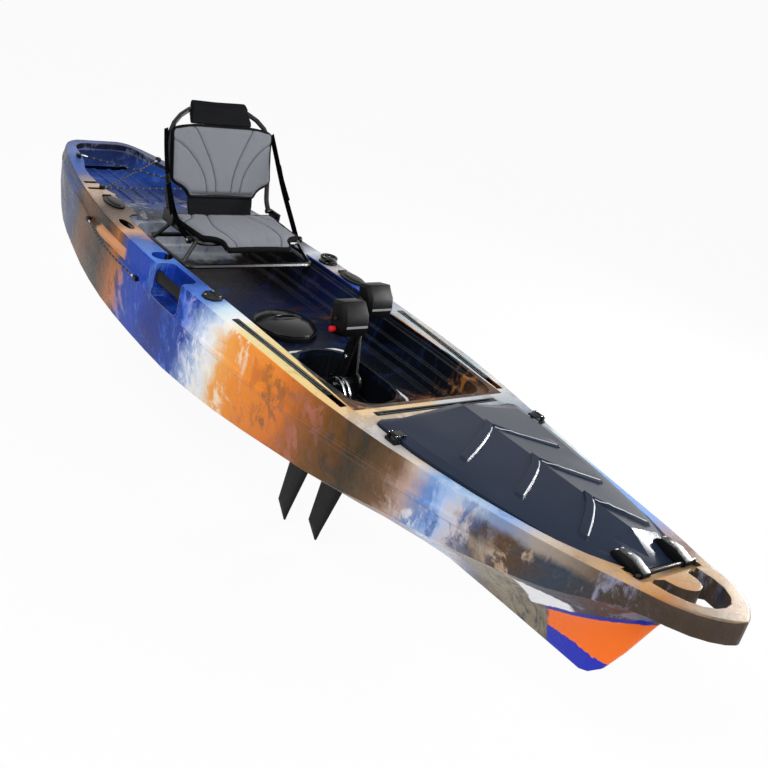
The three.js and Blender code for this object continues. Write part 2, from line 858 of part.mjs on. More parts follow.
const trackRun = trackLength + trackOpenEnd;
const trackFrontX = trackRear + Math.sqrt(trackLength ** 2 - (trackRearY - trackFrontY) ** 2);
const starboardTrackFrame = deckFrame([trackRear, -trackRearY], [trackFrontX, -trackFrontY]);

function trackGroove() {
  const groove = box(trackRun + 2 * touchGap, trackWidth + 2 * touchGap, 2 * trackDepth);
  return placed(moved(groove, trackRun / 2, 0, 0), starboardTrackFrame);
}

function cup(x, y, radius, depth, grow = 0) {
  const top = aboveDeck;
  const foot = deckAt(x) - depth - grow;
  return moved(cylinder(radius + grow, top - foot, "z", 20), x, y, (top + foot) / 2);
}

// What is moulded into each side alike, cut from starboard and mirrored.
function starboardCuts() {
  const dishY = -rimHalfWidthAt(dishX) + dishInset;
  const dish = ovalDisc(dishLength, dishWidth, 2 * dishDepth);
  const grooves = grooveXs.map((x) => {
    const y = -rimHalfWidthAt(x) + rimRound + grooveLength / 2;
    return moved(box(grooveWidth, grooveLength, 2 * grooveDepth), x, y, deckAt(x));
  });
  return joined(moved(dish, dishX, dishY, deckAt(dishX)), trackGroove(), ...grooves);
}

// Raised pads along the sides that hold a stowed paddle off the hull.
function keeperPad() {
  const pad = solidOf(new THREE.SphereGeometry(keeperPadLength / 2, 16, 8));
  const flat = pad.scale([
    1,
    (2 * (keeperPadProud + keeperPadSunk)) / keeperPadLength,
    keeperPadHeight / keeperPadLength,
  ]);
  return moved(flat, keeperPadX, -sideHalfWidthAt(keeperPadX, keeperPadZ) + keeperPadSunk, keeperPadZ);
}

function tankFloorRibs() {
  const ribs = [];
  const middle = (tankRear + tankFront) / 2;
  const spread = tankHalfWidth * 0.6;
  for (let rib = 0; rib < tankRibs; rib += 1) {
    const y = THREE.MathUtils.lerp(-spread, spread, rib / (tankRibs - 1));
    const bar = box(tankRibLength, tankRibWidth, 2 * tankRibHeight);
    ribs.push(moved(bar, middle, y, tankFloor));
  }
  return ribs;
}

function hull() {
  const floorHole = moved(cylinder(floorHatchHole, 2 * overrun, "z", 28), floorHatchX, 0, cockpitFloor);
  const lip = well(panShape, [[cockpitFloor + lipHeight, -lipWidth / 2], [cockpitFloor - skin, -lipWidth]]);
  const pocket = moved(
    box(hingePocketFront - hingePocketRear, 2 * hingePocketHalfWidth, aboveDeck - hingePocketFloor),
    (hingePocketRear + hingePocketFront) / 2,
    0,
    (aboveDeck + hingePocketFloor) / 2,
  );
  const hole = moved(slab(loopOutline(), hullDepth), 0, 0, hullDepth * keelAt(1) - overrun - skin);
  const beamGroove = moved(
    box(beamTrackWidth + 2 * touchGap, 2 * (beamTrackHalfLength + touchGap), 2 * trackDepth),
    beamTrackX,
    0,
    deckAt(beamTrackX),
  );
  const drain = moved(
    ovalDisc(drainWidth, drainLength, 2 * drainDepth).rotate([0, 0, 90]),
    tankRear + tankSlope + floorFillet + drainLength / 2,
    0,
    tankFloor,
  );
  const sockets = [
    cup(cupX, -cupY, cupRadius, cupDepth),
    cup(rodCapX, -rodCapY, socketRadius, socketDepth),
    cup(portCapX, portCapY, socketRadius, socketDepth),
  ];
  const socketWalls = [
    cup(cupX, -cupY, cupRadius, cupDepth, skin),
    cup(rodCapX, -rodCapY, socketRadius, socketDepth, skin),
    cup(portCapX, portCapY, socketRadius, socketDepth, skin),
  ];
  const pads = keeperPad();
  const cuts = starboardCuts();
  const hollow = without(
    innerVoid(),
    well(cockpitShape, cockpitLevels, skin),
    well(deckStepShape, deckStepLevels, skin),
    well(tankShape, tankLevels, skin),
    well(panShape, panLevels, skin),
    well(slotShape, slotLevels, skin),
    well(hatchShape, rebateLevels, skin),
    handlePocket(aboveDeck, skin),
    mirrored(handlePocket(portPocketTop, skin)),
    ...socketWalls,
  );
  const body = joined(outerHull(), pads, mirrored(pads));
  const open = without(
    body,
    well(cockpitShape, cockpitLevels),
    well(deckStepShape, deckStepLevels),
    well(tankShape, tankLevels),
    well(hatchShape, rebateLevels),
    pocket,
    hole,
    beamGroove,
    cuts,
    mirrored(cuts),
    handlePocket(aboveDeck),
    mirrored(handlePocket(portPocketTop)),
    ...sockets,
  );
  const floored = without(
    joined(open, lip, ...tankFloorRibs()),
    well(panShape, panLevels),
    well(slotShape, slotLevels),
    drain,
  );
  return without(floored, hollow, well(hatchShape, openingLevels), floorHole);
}

// Finishes

const finish = (color, roughness, metalness = 0) =>
  new THREE.MeshStandardMaterial({ color, roughness, metalness });
const finishes = {
  hull: finish(0x2a58c8, 0.4),
  lid: finish(0x3d424c, 0.45),
  black: finish(0x141416, 0.5),
  satinBlack: finish(0x1b1b1d, 0.35, 0.6),
  silver: finish(0xb8bcc2, 0.3, 0.9),
  red: finish(0xd81f26, 0.4),
  rubber: finish(0x18181a, 0.8),
  cloth: finish(0x8f9097, 0.95),
  webbing: finish(0x17171a, 0.9),
  blade: finish(0x202126, 0.6),
};

const kayak = new THREE.Group();
kayak.name = "pedal_kayak";

// A named piece, placed by its mesh's own position and turn.
function piece(parent, name, solid, look, position = [0, 0, 0], turn = [0, 0, 0]) {
  const mesh = new THREE.Mesh(geometryOf(solid), finishes[look]);
  mesh.name = name;
  mesh.position.set(...position);
  mesh.rotation.set(...turn);
  parent.add(mesh);
  return mesh;
}

function groupAt(parent, x, y, z, turnY = 0) {
  const group = new THREE.Group();
  group.position.set(x, y, z);
  group.rotation.y = turnY;
  parent.add(group);
  return group;
}

const sides = [
  ["starboard", -1],
  ["port", 1],
];

// Tubes

// A path that stops at each of its points, so a straight run takes one step.
class SteppedPath extends THREE.Curve {
  constructor(points) {
    super();
    this.points = points;
  }

  getPoint(t, target = new THREE.Vector3()) {
    const place = t * (this.points.length - 1);
    const before = Math.min(Math.floor(place + 1e-6), this.points.length - 2);
    return target.lerpVectors(this.points[before], this.points[before + 1], place - before);
  }

  getPointAt(t, target) {
    return this.getPoint(t, target);
  }

  getTangentAt(t, target = new THREE.Vector3()) {
    const here = Math.round(t * (this.points.length - 1));
    const before = this.points[Math.max(here - 1, 0)];
    const after = this.points[Math.min(here + 1, this.points.length - 1)];
    return target.subVectors(after, before).normalize();
  }
}

// The corners of a bent tube's middle line, each rounded to the bend's reach.
function bentLine(corners, bend, steps = 3) {
  const points = corners.map((corner) => new THREE.Vector3(...corner));
  return points.flatMap((corner, i) => {
    if (i === 0 || i === points.length - 1) return [corner];
    const back = points[i - 1].clone().sub(corner);
    const ahead = points[i + 1].clone().sub(corner);
    const reach = Math.min(bend, back.length() / 2.1, ahead.length() / 2.1);
    const start = corner.clone().addScaledVector(back.normalize(), reach);
    const end = corner.clone().addScaledVector(ahead.normalize(), reach);
    return new THREE.QuadraticBezierCurve3(start, corner, end).getPoints(steps);
  });
}

function tube(line, radius, facets = 8) {
  const section = new THREE.Shape(
    [...Array(facets).keys()].map((facet) => {
      const angle = (facet / facets) * TURN;
      return new THREE.Vector2(radius * Math.cos(angle), radius * Math.sin(angle));
    }),
  );
  const options = { steps: line.length - 1, extrudePath: new SteppedPath(line), bevelEnabled: false };
  return solidOf(new THREE.ExtrudeGeometry(section, options));
}

function rodBetween(start, end, radius, facets = 12) {
  return tube([new THREE.Vector3(...start), new THREE.Vector3(...end)], radius, facets);
}

// A ring with a bore, standing on zero.
function collar(radius, bore, height, facets = 28) {
  const profile = [[bore, 0], [radius, 0], [radius, height], [bore, height], [bore, 0]];
  const points = profile.map(([r, z]) => new THREE.Vector2(r, z));
  return solidOf(new THREE.LatheGeometry(points, facets).rotateX(QUARTER));
}

// A turned solid from rows of radius and height that start and end on the axis.
function turned(rows, facets = 28) {
  const points = rows.map(([radius, z]) => new THREE.Vector2(radius, z));
  return solidOf(new THREE.LatheGeometry(points, facets).rotateX(QUARTER));
}

// Rim fittings

function gearTrack(length, width) {
  const depth = trackDepth - touchGap + trackProud;
  const middle = (trackProud - trackDepth + touchGap) / 2;
  const bar = moved(box(length, width, depth), length / 2, 0, middle);
  const slot = box(length - 2 * trackWidth, trackSlotWidth, 2 * trackSlotDepth);
  return without(bar, moved(slot, length / 2, 0, trackProud));
}

// A lid over a socket, drawn about the knuckle that it turns on.
function capOnRim(length, width) {
  const thickness = rodCapThickness;
  const knuckle = cylinder(thickness / 2, width / 2, "y", 12);
  const middle = length / 2 + runningGap;
  const base = moved(ovalDisc(length, width, (thickness * 2) / 3), middle, 0, -thickness / 6);
  const crown = moved(ovalDisc(length - width / 2, width / 2, thickness), middle, 0, 0);
  return joined(base, crown, knuckle);
}

function rimFittings(parent) {
  const track = gearTrack(trackLength, trackWidth);
  const starboardTrack = piece(parent, "gear_track_starboard", track, "satinBlack");
  starboardTrack.applyMatrix4(starboardTrackFrame);
  const portTrack = piece(parent, "gear_track_port", track, "satinBlack");
  portTrack.applyMatrix4(deckFrame([trackRear, trackRearY], [trackFrontX, trackFrontY]));
  const beam = moved(gearTrack(2 * beamTrackHalfLength, beamTrackWidth), -beamTrackHalfLength, 0, 0);
  const beamPlace = [beamTrackX, 0, deckAt(beamTrackX)];
  piece(parent, "crossbeam_track", beam, "satinBlack", beamPlace, [0, 0, QUARTER]);

  const cap = capOnRim(rodCapLength, rodCapWidth);
  [["starboard", rodCapX, -rodCapY], ["port", portCapX, portCapY]].forEach(([side, x, y]) => {
    const frame = deckFrame([x - rodCapLength / 2, y], [x + rodCapLength / 2, y]);
    frame.multiply(new THREE.Matrix4().makeTranslation(0, 0, rodCapThickness / 2 + 2 * touchGap));
    piece(parent, `rod_holder_cap_${side}`, cap, "black").applyMatrix4(frame);
  });

  const octagon = cylinder(capRadius, capHeight, "z", capSides, capRadius * 0.86);
  const squared = octagon.rotate([0, 0, 180 / capSides]);
  const dimple = moved(ovalDisc(capRadius, capRadius / 2, capHeight), 0, 0, capHeight * 0.8);
  const capPlace = [capX, -capY, deckAt(capX) + capHeight / 2 + touchGap];
  piece(parent, "accessory_mount_cap", without(squared, dimple), "black", capPlace);

  const steerDeck = deckAt(steerX) + touchGap;
  const plate = moved(cylinder(steerPlateRadius, steerPlateHeight, "z", 24), 0, 0, steerPlateHeight / 2);
  piece(parent, "steering_plate", plate, "black", [steerX, steerY, steerDeck]);
  const ring = solidOf(new THREE.TorusGeometry(steerRingRadius - steerRingTube, steerRingTube, 6, 18));
  const hub = cylinder(steerHubRadius, steerHubHeight, "z", 16);
  const spoke = box(2 * (steerRingRadius - steerRingTube), steerSpokeWidth, steerRingTube);
  const knob = joined(
    moved(hub, 0, 0, steerHubHeight / 2),
    moved(ring, 0, 0, steerHubHeight),
    moved(spoke, 0, 0, steerHubHeight - steerRingTube / 3),
    moved(spoke.rotate([0, 0, 90]), 0, 0, steerHubHeight - steerRingTube / 3),
  );
  piece(parent, "steering_knob", knob, "black", [steerX, steerY, steerDeck + steerPlateHeight + touchGap]);

  sides.forEach(([side, sign]) => {
    const handle = carryHandle();
    piece(parent, `carry_handle_${side}`, sign < 0 ? handle : mirrored(handle), "rubber");
  });
}

// A grip across the pocket in the starboard side, thicker in its middle.
function carryHandle() {
  const from = handleRear + touchGap;
  const to = handleFront - touchGap;
  const outer = -halfBeam + handleBarWidth / 2;
  const middle = outer + handleBarWidth / 2;
  const rings = [0, handleTab, handleTab * 1.6].flatMap((reach, i) => {
    const swell = [1, 1, 0.8][i];
    return [[from + reach, swell], [to - reach, swell]];
  });
  rings.sort((a, b) => a[0] - b[0]);
  return loft(
    rings.map(([x, swell]) => {
      const high = (handleBarHeight / 2) * swell;
      const wide = (handleBarWidth / 2) * (2 - swell) * 0.9;
      const z = handleBarTop - handleBarHeight / 2;
      return [...Array(8).keys()].map((corner) => {
        const angle = ((corner + 0.5) / 8) * TURN;
        const round = 1 / Math.cos(TURN / 16);
        const y = middle + wide * clamp(round * Math.cos(angle) * 1.1, -1, 1);
        return new THREE.Vector3(x, y, z + high * clamp(round * Math.sin(angle) * 1.1, -1, 1));
      });
    }),
  );
}

// Cords

// Seats a fitting on the hull's outside by cutting the hull out of it, with the resting gap.
const hullClearance = loft(outerStationShares.map((station) => hullRing(station, -touchGap)));

function keeperSide(x, z, out) {
  return -(sideHalfWidthAt(x, z) + out);
}

// The cord's ends stop inside its eyes. It can be grown to bore them.
function keeperCord(grow = 0) {
  const line = [];
  for (let step = 0; step <= keeperCordSteps; step += 1) {
    const share = step / keeperCordSteps;
    const x = THREE.MathUtils.lerp(keeperRearX - grow, keeperFrontX + grow, share);
    const z = THREE.MathUtils.lerp(keeperRearZ, keeperFrontZ, share);
    const pad = keeperPadProud * Math.sin(share * Math.PI);
    line.push(new THREE.Vector3(x, keeperSide(x, z, eyeStand / 2 + pad), z));
  }
  return tube(line, cordRadius + grow, 8);
}

function keeperEye(x, z) {
  const block = moved(box(eyeLength, 2 * eyeStand, eyeHeight), x, keeperSide(x, z, 0), z);
  return without(block, hullClearance, keeperCord(touchGap));
}

// Eyes stand on the rim beside the tank well, and the cord is hooked from one to the next.
function tankEyePlace(x, sign) {
  const y = sign * (tankShape.halfWidthAt(x) + tankEyeOffset);
  return new THREE.Vector3(x, y, deckAt(x) + tankEyeHeight / 2 - touchGap);
}

// The cord's ends stop inside the rear eyes. It can be grown to bore all four.
function tankCord(grow = 0) {
  const at = (x, sign, lift, inboard) => {
    const place = tankEyePlace(x, sign);
    return [place.x, place.y - sign * inboard, place.z + lift];
  };
  const lift = cordCross / 2;
  const hook = eyeStand / 2 + touchGap + cordRadius;
  const corners = [
    at(tankEyeRearX, -1, lift, -grow),
    at(tankEyeFrontX, 1, lift, hook),
    at(tankEyeFrontX, -1, -lift, hook),
    at(tankEyeRearX, 1, -lift, -grow),
  ];
  return tube(bentLine(corners, eyeLength / 2), cordRadius + grow, 8);
}

function tankEye(x, sign) {
  const place = tankEyePlace(x, sign);
  const block = moved(box(eyeLength, eyeStand, tankEyeHeight), place.x, place.y, place.z);
  return without(block, hullClearance, tankCord(touchGap));
}

function cords(parent) {
  sides.forEach(([side, sign]) => {
    const facing = (solid) => (sign < 0 ? solid : mirrored(solid));
    piece(parent, `paddle_keeper_cord_${side}`, facing(keeperCord()), "rubber");
    [["rear", keeperRearX, keeperRearZ], ["front", keeperFrontX, keeperFrontZ]].forEach(([end, x, z]) => {
      piece(parent, `paddle_keeper_eye_${end}_${side}`, facing(keeperEye(x, z)), "black");
    });
    [["rear", tankEyeRearX], ["front", tankEyeFrontX]].forEach(([end, x]) => {
      piece(parent, `bungee_eye_${end}_${side}`, tankEye(x, sign), "black");
    });
  });
  piece(parent, "tank_bungee_cord", tankCord(), "rubber");
}

// Bow hatch

const ease = (share) => THREE.MathUtils.smoothstep(share, 0, 1);

function lidHalfWidthAt(x) {
  const toEnd = Math.min(x - hatchRear, hatchFront - x);
  const turn = clamp(1 - toEnd / hatchCorner, 0, 1);
  return hatchShape.halfWidthAt(x) - hatchCorner * (1 - Math.sqrt(1 - turn * turn));
}

function lidTopAt(x, y) {
  const width = lidHalfWidthAt(x);
  const tail = ease((x - hatchRear) / lidTailLength);
  const nose = clamp((hatchFront - x) / lidNoseLength, 0, 1);
  const rise = Math.min(tail, nose);
  const across = Math.abs(y);
  const shoulder = Math.max(width - lidBevelWidth, width / 2);
  const bevel = lidBevel * clamp((width - across) / (width - shoulder), 0, 1);
  const crown = (lidCrown - lidBevel) * clamp(1 - across / shoulder, 0, 1);
  return lidSeat + lidEdge + rise * (bevel + crown);
}

// The lid's section at a place along it. Solid sections close the two ends.
function lidRing(x, isEnd, grow) {
  const width = lidHalfWidthAt(x) + grow;
  const shoulder = Math.max(width - lidBevelWidth, width / 2);
  const lip = Math.max(width - lidLip, width / 3);
  const top = (y) => [y, lidTopAt(x, Math.max(y - grow, 0)) + grow];
  const arch = (y) => lidSeat + touchGap * (1 - y / width);
  const under = (y) => [y, isEnd ? arch(y) : lidTopAt(x, y) - lidThickness];
  const half = [
    top(0), top(shoulder / 2), top(shoulder), top(width), [width, lidSeat - grow],
    [lip, lidSeat - grow], under(lip * 0.98), under(lip / 2), under(0),
  ];
  const other = half.slice(1, -1).map(([y, z]) => [-y, z]).reverse();
  const tail = clamp(1 - (x - hatchRear) / (2 * hatchApex), 0, 1);
  return [...half, ...other].map(([y, z]) => {
    const forward = hatchApex * tail * (1 - Math.abs(y) / width);
    return new THREE.Vector3(x + forward, y, z);
  });
}

function lidShell(grow = 0) {
  const shares = [0.1, 0.2, 0.3, 0.4, 0.5, 0.6, 0.7, 0.8];
  const inner = shares.map((share) => hatchRear + hatchLength * share);
  const corner = hatchCorner * 0.4;
  const rear = [hatchRear - grow, hatchRear + corner, hatchRear + hatchCorner, hatchRear + 2 * hatchApex];
  const nose = hatchFront - lidNoseLength;
  const front = [nose, hatchFront - hatchCorner, hatchFront - corner, hatchFront + grow];
  const xs = [...rear, hatchRear + lidTailLength + hatchApex, ...inner, ...front];
  xs.sort((a, b) => a - b);
  const ends = [xs[0], xs[1], xs[xs.length - 2], xs[xs.length - 1]];
  return loft(xs.map((x) => lidRing(x, grow > 0 || ends.includes(x), grow)));
}

// A raised rib with its apex on the lid's middle and both arms swept forward.
function chevron(share, grow = 0) {
  const apex = hatchRear + hatchLength * share;
  const reach = lidHalfWidthAt(apex + chevronSweep) * chevronReachShare;
  const stations = [-1, -0.96, -0.7, -0.45, -0.2, 0, 0.2, 0.45, 0.7, 0.96, 1];
  const foot = chevronWidth / 2 + grow;
  const top = foot - chevronProud;
  return loft(
    stations.map((place) => {
      const y = reach * place;
      const x = apex + chevronSweep * Math.abs(place) ** chevronBow;
      const proud = (Math.abs(place) === 1 ? 0 : chevronProud) + grow;
      const at = (along, out) => new THREE.Vector3(x + along, y, lidTopAt(x + along, y) + out);
      const sunk = -lidThickness / 2;
      return [at(-foot, sunk), at(-top, proud), at(top, proud), at(foot, sunk)];
    }),
  );
}

function hatchLid() {
  return joined(lidShell(), ...chevronShares.map(chevron));
}

function gasket() {
  const height = lidSeat - rebateFloor - 3 * touchGap;
  const outer = well(hatchShape, [[height, gasketInset], [0, gasketInset]]);
  const inner = gasketInset + gasketWidth;
  return outer.subtract(well(hatchShape, [[height + overrun, inner], [-overrun, inner]]));
}

// An arm that is bolted over the lid's front corner and turns on the hinge rod.
function hingeArm() {
  const knuckle = hingeRadius + hingeArmInset;
  const side = new THREE.Shape();
  side.moveTo(0, -knuckle);
  side.absarc(0, 0, knuckle, -QUARTER, QUARTER / 2, false);
  side.lineTo(-hingeArmLength / 3, hingeArmHeight);
  side.lineTo(-hingeArmLength * 0.8, hingeArmHeight);
  side.lineTo(-hingeArmLength, hingeArmHeight / 3);
  side.lineTo(-hingeArmLength, -knuckle);
  const depth = hingeArmWidth;
  const shape = new THREE.ExtrudeGeometry(side, { depth, bevelEnabled: false, curveSegments: 5 });
  const bar = moved(solidOf(shape.rotateX(QUARTER)), 0, hingeArmReach, 0);
  const bore = cylinder(hingeRadius + runningGap / 2, 4 * hingePocketHalfWidth, "y", 20);
  const lid = joined(lidShell(touchGap), ...chevronShares.map((share) => chevron(share, touchGap)));
  return without(bar, bore, moved(lid, -hingeX, 0, -hingeZ));
}

function latchY() {
  return hatchShape.halfWidthAt(latchX) + rebateGap + runningGap + latchBaseWidth / 2;
}

function latchSeat() {
  return deckAt(latchX) + touchGap * 2;
}

// The pin's height over the base, which lets the lever lie just over the lid.
function latchPinHeight() {
  const lidTop = lidTopAt(latchX, latchY() - latchLeverLength);
  return lidTop + latchLeverGap + latchThickness * 0.4 - latchSeat();
}

function latchBase() {
  const pinHeight = latchPinHeight();
  const block = box(latchBaseLength, latchBaseWidth, latchBaseHeight);
  const ear = box(latchThickness, latchBaseWidth / 2, pinHeight);
  const reach = (latchBaseLength - latchThickness) / 2;
  const pin = cylinder(latchThickness / 2 - runningGap, latchBaseLength, "x", 10);
  return joined(
    moved(block, 0, 0, latchBaseHeight / 2),
    moved(ear, -reach, 0, pinHeight / 2 + latchThickness / 2),
    moved(ear, reach, 0, pinHeight / 2 + latchThickness / 2),
    moved(pin, 0, 0, pinHeight),
  );
}

// The lever lies over the lid's edge. It is drawn for starboard, about its pin.
function latchLever() {
  const width = latchBaseLength - 2 * (latchThickness + runningGap);
  const hub = cylinder(latchThickness * 0.8, width, "x", 12);
  const arm = moved(box(width, latchLeverLength, latchThickness * 0.8), 0, latchLeverLength / 2, 0);
  const bore = cylinder(latchThickness / 2 - runningGap / 2, 2 * width, "x", 10);
  return without(joined(hub, arm), bore);
}

function bowHatch(parent) {
  const hinge = groupAt(parent, hingeX, 0, hingeZ);
  piece(hinge, "bow_hatch_lid", moved(hatchLid(), -hingeX, 0, -hingeZ), "lid");
  sides.forEach(([side, sign]) => {
    const arm = hingeArm();
    piece(hinge, `hatch_hinge_bracket_${side}`, sign < 0 ? mirrored(arm) : arm, "black");
  });
  const rod = cylinder(hingeRadius, 2 * (hingePocketHalfWidth - touchGap), "y", 20);
  piece(parent, "hatch_hinge_rod", rod, "black", [hingeX, 0, hingeZ]);
  piece(parent, "bow_hatch_gasket", gasket(), "rubber", [0, 0, rebateFloor + touchGap]);
  sides.forEach(([side, sign]) => {
    const y = sign * latchY();
    const turn = sign < 0 ? 0 : Math.PI;
    piece(parent, `hatch_latch_base_${side}`, latchBase(), "black", [latchX, y, latchSeat()]);
    const place = [latchX, y, latchSeat() + latchPinHeight()];
    piece(parent, `hatch_latch_lever_${side}`, latchLever(), "black", place, [0, 0, turn]);
  });
}

function floorHatch(parent) {
  const seat = cockpitFloor + touchGap;
  const ring = collar(hatchRingRadius, hatchRingBore, hatchRingHeight, 28);
  piece(parent, "floor_hatch_ring", ring, "black", [floorHatchX, 0, seat]);
  const lid = turned([
    [0, -floorLidPlugDepth],
    [floorLidPlug, -floorLidPlugDepth],
    [floorLidPlug, 0],
    [floorLidRadius, 0],
    [floorLidRadius, floorLidRim / 2],
    [floorLidRadius - floorLidRim / 2, floorLidRim],
    [floorLidRadius * 0.7, floorLidRim + floorLidDome * 0.72],
    [floorLidRadius * 0.35, floorLidRim + floorLidDome],
    [0, floorLidRim + floorLidDome],
  ], 28);
  const top = floorLidRim + floorLidDome;
  const grip = moved(ovalDisc(floorLidGripLength, floorLidGripWidth, 2 * floorLidGripDepth), 0, 0, top);
  const barHeight = floorLidGripDepth * 0.8;
  const bar = box(floorLidGripLength * 0.9, floorLidBarWidth, barHeight);
  const gripped = joined(without(lid, grip), moved(bar, 0, 0, top - floorLidGripDepth * 0.7));
  const place = [floorHatchX, 0, seat + hatchRingHeight + touchGap];
  piece(parent, "floor_hatch_lid", gripped, "black", place, [0, 0, QUARTER]);
}

// Rudder

function rudder(parent) {
  const tall = rudderTop - rudderBottom;
  const middle = (rudderTop + rudderBottom) / 2;
  const transom = -hullLength / 2 - touchGap;
  const reach = transom - rudderPinX;
  const plateDepth = rudderPlateThickness + sternTuck;
  const plate = box(plateDepth, 2 * rudderLugWidth, tall);
  const lug = (z) =>
    joined(
      moved(box(reach, rudderLugWidth, rudderLug), rudderPinX + reach / 2, 0, z),
      moved(cylinder(rudderLugWidth / 2, rudderLug, "z", 20), rudderPinX, 0, z),
    );
  const bore = cylinder(rudderPinRadius + touchGap, 2 * tall, "z", 14);
  const bracket = joined(
    moved(plate, transom - rudderPlateThickness + plateDepth / 2, 0, middle),
    lug(rudderTop - rudderLug / 2),
    lug(rudderBottom + rudderLug / 2),
  );
  const stern = moved(hullClearance, -3 * touchGap, 0, 0);
  const seated = without(bracket, hullClearance, stern, moved(bore, rudderPinX, 0, middle));
  piece(parent, "rudder_bracket", seated, "black");
  const head = moved(
    cylinder(rudderPinRadius * 1.8, rudderPinRadius, "z", 12),
    0,
    0,
    (tall + rudderPinRadius) / 2 + touchGap,
  );
  const pin = joined(cylinder(rudderPinRadius, tall + 4 * touchGap, "z", 14), head);
  piece(parent, "rudder_pin", pin, "silver", [rudderPinX, 0, middle]);

  const hubLow = rudderBottom + rudderLug + touchGap - middle;
  const hubTall = tall - 2 * (rudderLug + touchGap);
  const hub = moved(cylinder(rudderHubRadius, hubTall, "z", 20), 0, 0, hubLow + hubTall / 2);
  const lugClear = rudderLugWidth / 2 + 2 * runningGap;
  const outline = [
    [-rudderHubRadius / 2, hubLow],
    [-rudderHubRadius / 2, hubLow + hubTall],
    [-rudderBladeNeck, hubLow + hubTall * 0.8],
    [-rudderBladeReach, hubLow - hubTall * 0.4],
    [-rudderBladeReach, (rudderBladeFoot - middle) * 0.85],
    [-rudderBladeReach * 0.8, rudderBladeFoot - middle],
    [-rudderBladeNeck * 0.6, rudderBladeFoot - middle],
    [-rudderBladeNeck * 0.35, (rudderBladeFoot - middle) * 0.8],
    [-lugClear, -tall / 2 - 2 * runningGap],
    [-lugClear, hubLow],
  ];
  const flat = slab(outline, rudderBladeThickness);
  const blade = moved(flat, 0, 0, -rudderBladeThickness / 2).rotate([90, 0, 0]);
  const swung = without(joined(hub, blade), cylinder(rudderPinRadius + runningGap / 2, 2 * tall, "z", 14));
  piece(parent, "rudder_blade", swung, "blade", [rudderPinX, 0, middle]);
}

// Pedal drive

function mountPlate() {
  const margin = plateMargin - touchGap;
  const outline = (inset) => {
    const shape = { ...slotShape, rear: slotRear - margin, front: slotFront + margin };
    const half = halfOutline({ ...shape, halfWidthAt: () => slotHalfWidth + margin }, inset);
    return [...half, ...half.map(([x, y]) => [x, -y]).reverse()];
  };
  const bottom = panFloor + touchGap;
  const plate = moved(slab(outline(0), plateThickness), 0, 0, bottom);
  const housing = (x0, x1, halfWidth, height) => {
    const ring = (x, share) =>
      [
        [-halfWidth, bottom], [halfWidth, bottom], [halfWidth, bottom + height * share * 0.7],
        [halfWidth * 0.6, bottom + height * share], [-halfWidth * 0.6, bottom + height * share],
        [-halfWidth, bottom + height * share * 0.7],
      ].map(([y, z]) => new THREE.Vector3(x, y, z));
    const run = x1 - x0;
    return loft([ring(x0, 0.45), ring(x0 + run * 0.25, 1), ring(x1 - run * 0.25, 1), ring(x1, 0.45)]);
  };
  const leg = moved(
    box(legLength, 2 * legHalfWidth, bottom + finHubRadius - finAxisZ),
    (finHubXs[0] + finHubXs[1]) / 2,
    0,
    (bottom + finAxisZ - finHubRadius) / 2 + plateThickness / 2,
  );
  const shaft = rodBetween([finShaftRear, 0, finAxisZ], [finShaftFront, 0, finAxisZ], finShaftRadius, 16);
  const housed = housing(housingRear, housingFront, housingHalfWidth, housingTop - panFloor);
  return joined(plate, housed, leg, shaft);
}

function spine() {
  const side = new THREE.Shape();
  const foot = housingTop - crankZ + touchGap * 2;
  side.moveTo(-towerLength / 2, foot);
  side.lineTo(towerLength / 2, foot);
  side.lineTo(towerTopRadius, 0);
  side.absarc(0, 0, towerTopRadius, 0, Math.PI, false);
  const depth = 2 * (crankArmY - runningGap);
  const shape = new THREE.ExtrudeGeometry(side, { depth, bevelEnabled: false, curveSegments: 10 });
  const tower = moved(solidOf(shape.rotateX(QUARTER)), 0, depth / 2, 0);
  return without(tower, cylinder(crankAxleRadius + touchGap, 3 * depth, "y", 20));
}

// One crank arm, drawn upright about the axle, with the drum that works the fins at its foot.
function crankArm() {
  const body = new THREE.Shape();
  body.moveTo(-crankArmFoot, 0);
  body.absarc(0, 0, crankArmFoot, Math.PI, TURN, false);
  body.lineTo(crankArmHead, crankLength);
  body.absarc(0, crankLength, crankArmHead, 0, Math.PI, false);
  const span = crankLength * (crankTeethToShare - crankTeethFromShare);
  for (let tooth = crankTeeth; tooth > 0; tooth -= 1) {
    const at = (share) => crankLength * crankTeethFromShare + (span * (tooth - share)) / crankTeeth;
    const edge = (z) => -THREE.MathUtils.lerp(crankArmFoot, crankArmHead, z / crankLength);
    body.lineTo(edge(at(0)), at(0));
    body.lineTo(edge(at(0.2)) - crankToothDepth, at(0.2));
    body.lineTo(edge(at(0.6)) - crankToothDepth, at(0.6));
    body.lineTo(edge(at(0.8)), at(0.8));
  }
  const depth = crankArmThickness;
  const shape = new THREE.ExtrudeGeometry(body, { depth, bevelEnabled: false, curveSegments: 6 });
  const arm = moved(solidOf(shape.rotateX(QUARTER)), 0, crankArmThickness, 0);
  const drum = moved(cylinder(drumRadius, crankArmThickness, "y", 20), 0, crankArmThickness / 2, 0);
  const pins = [];
  for (let pin = 0; pin < drumRound; pin += 1) {
    const angle = (pin / drumRound) * TURN;
    const ring = drumRadius - 3 * drumPinRadius;
    const post = cylinder(drumPinRadius, drumPinLength + crankArmThickness, "y", 6);
    const middle = (crankArmThickness + drumPinLength) / 2;
    pins.push(moved(post, ring * Math.sin(angle), middle, ring * Math.cos(angle)));
  }
  const spindle = cylinder(spindleRadius, spindleLength, "y", 10);
  const spindleMiddle = crankArmThickness + spindleLength / 2 - touchGap;
  const whole = joined(arm, drum, ...pins, moved(spindle, 0, spindleMiddle, crankLength));
  return without(whole, cylinder(crankAxleRadius + runningGap / 2, 6 * crankArmThickness, "y", 16));
}

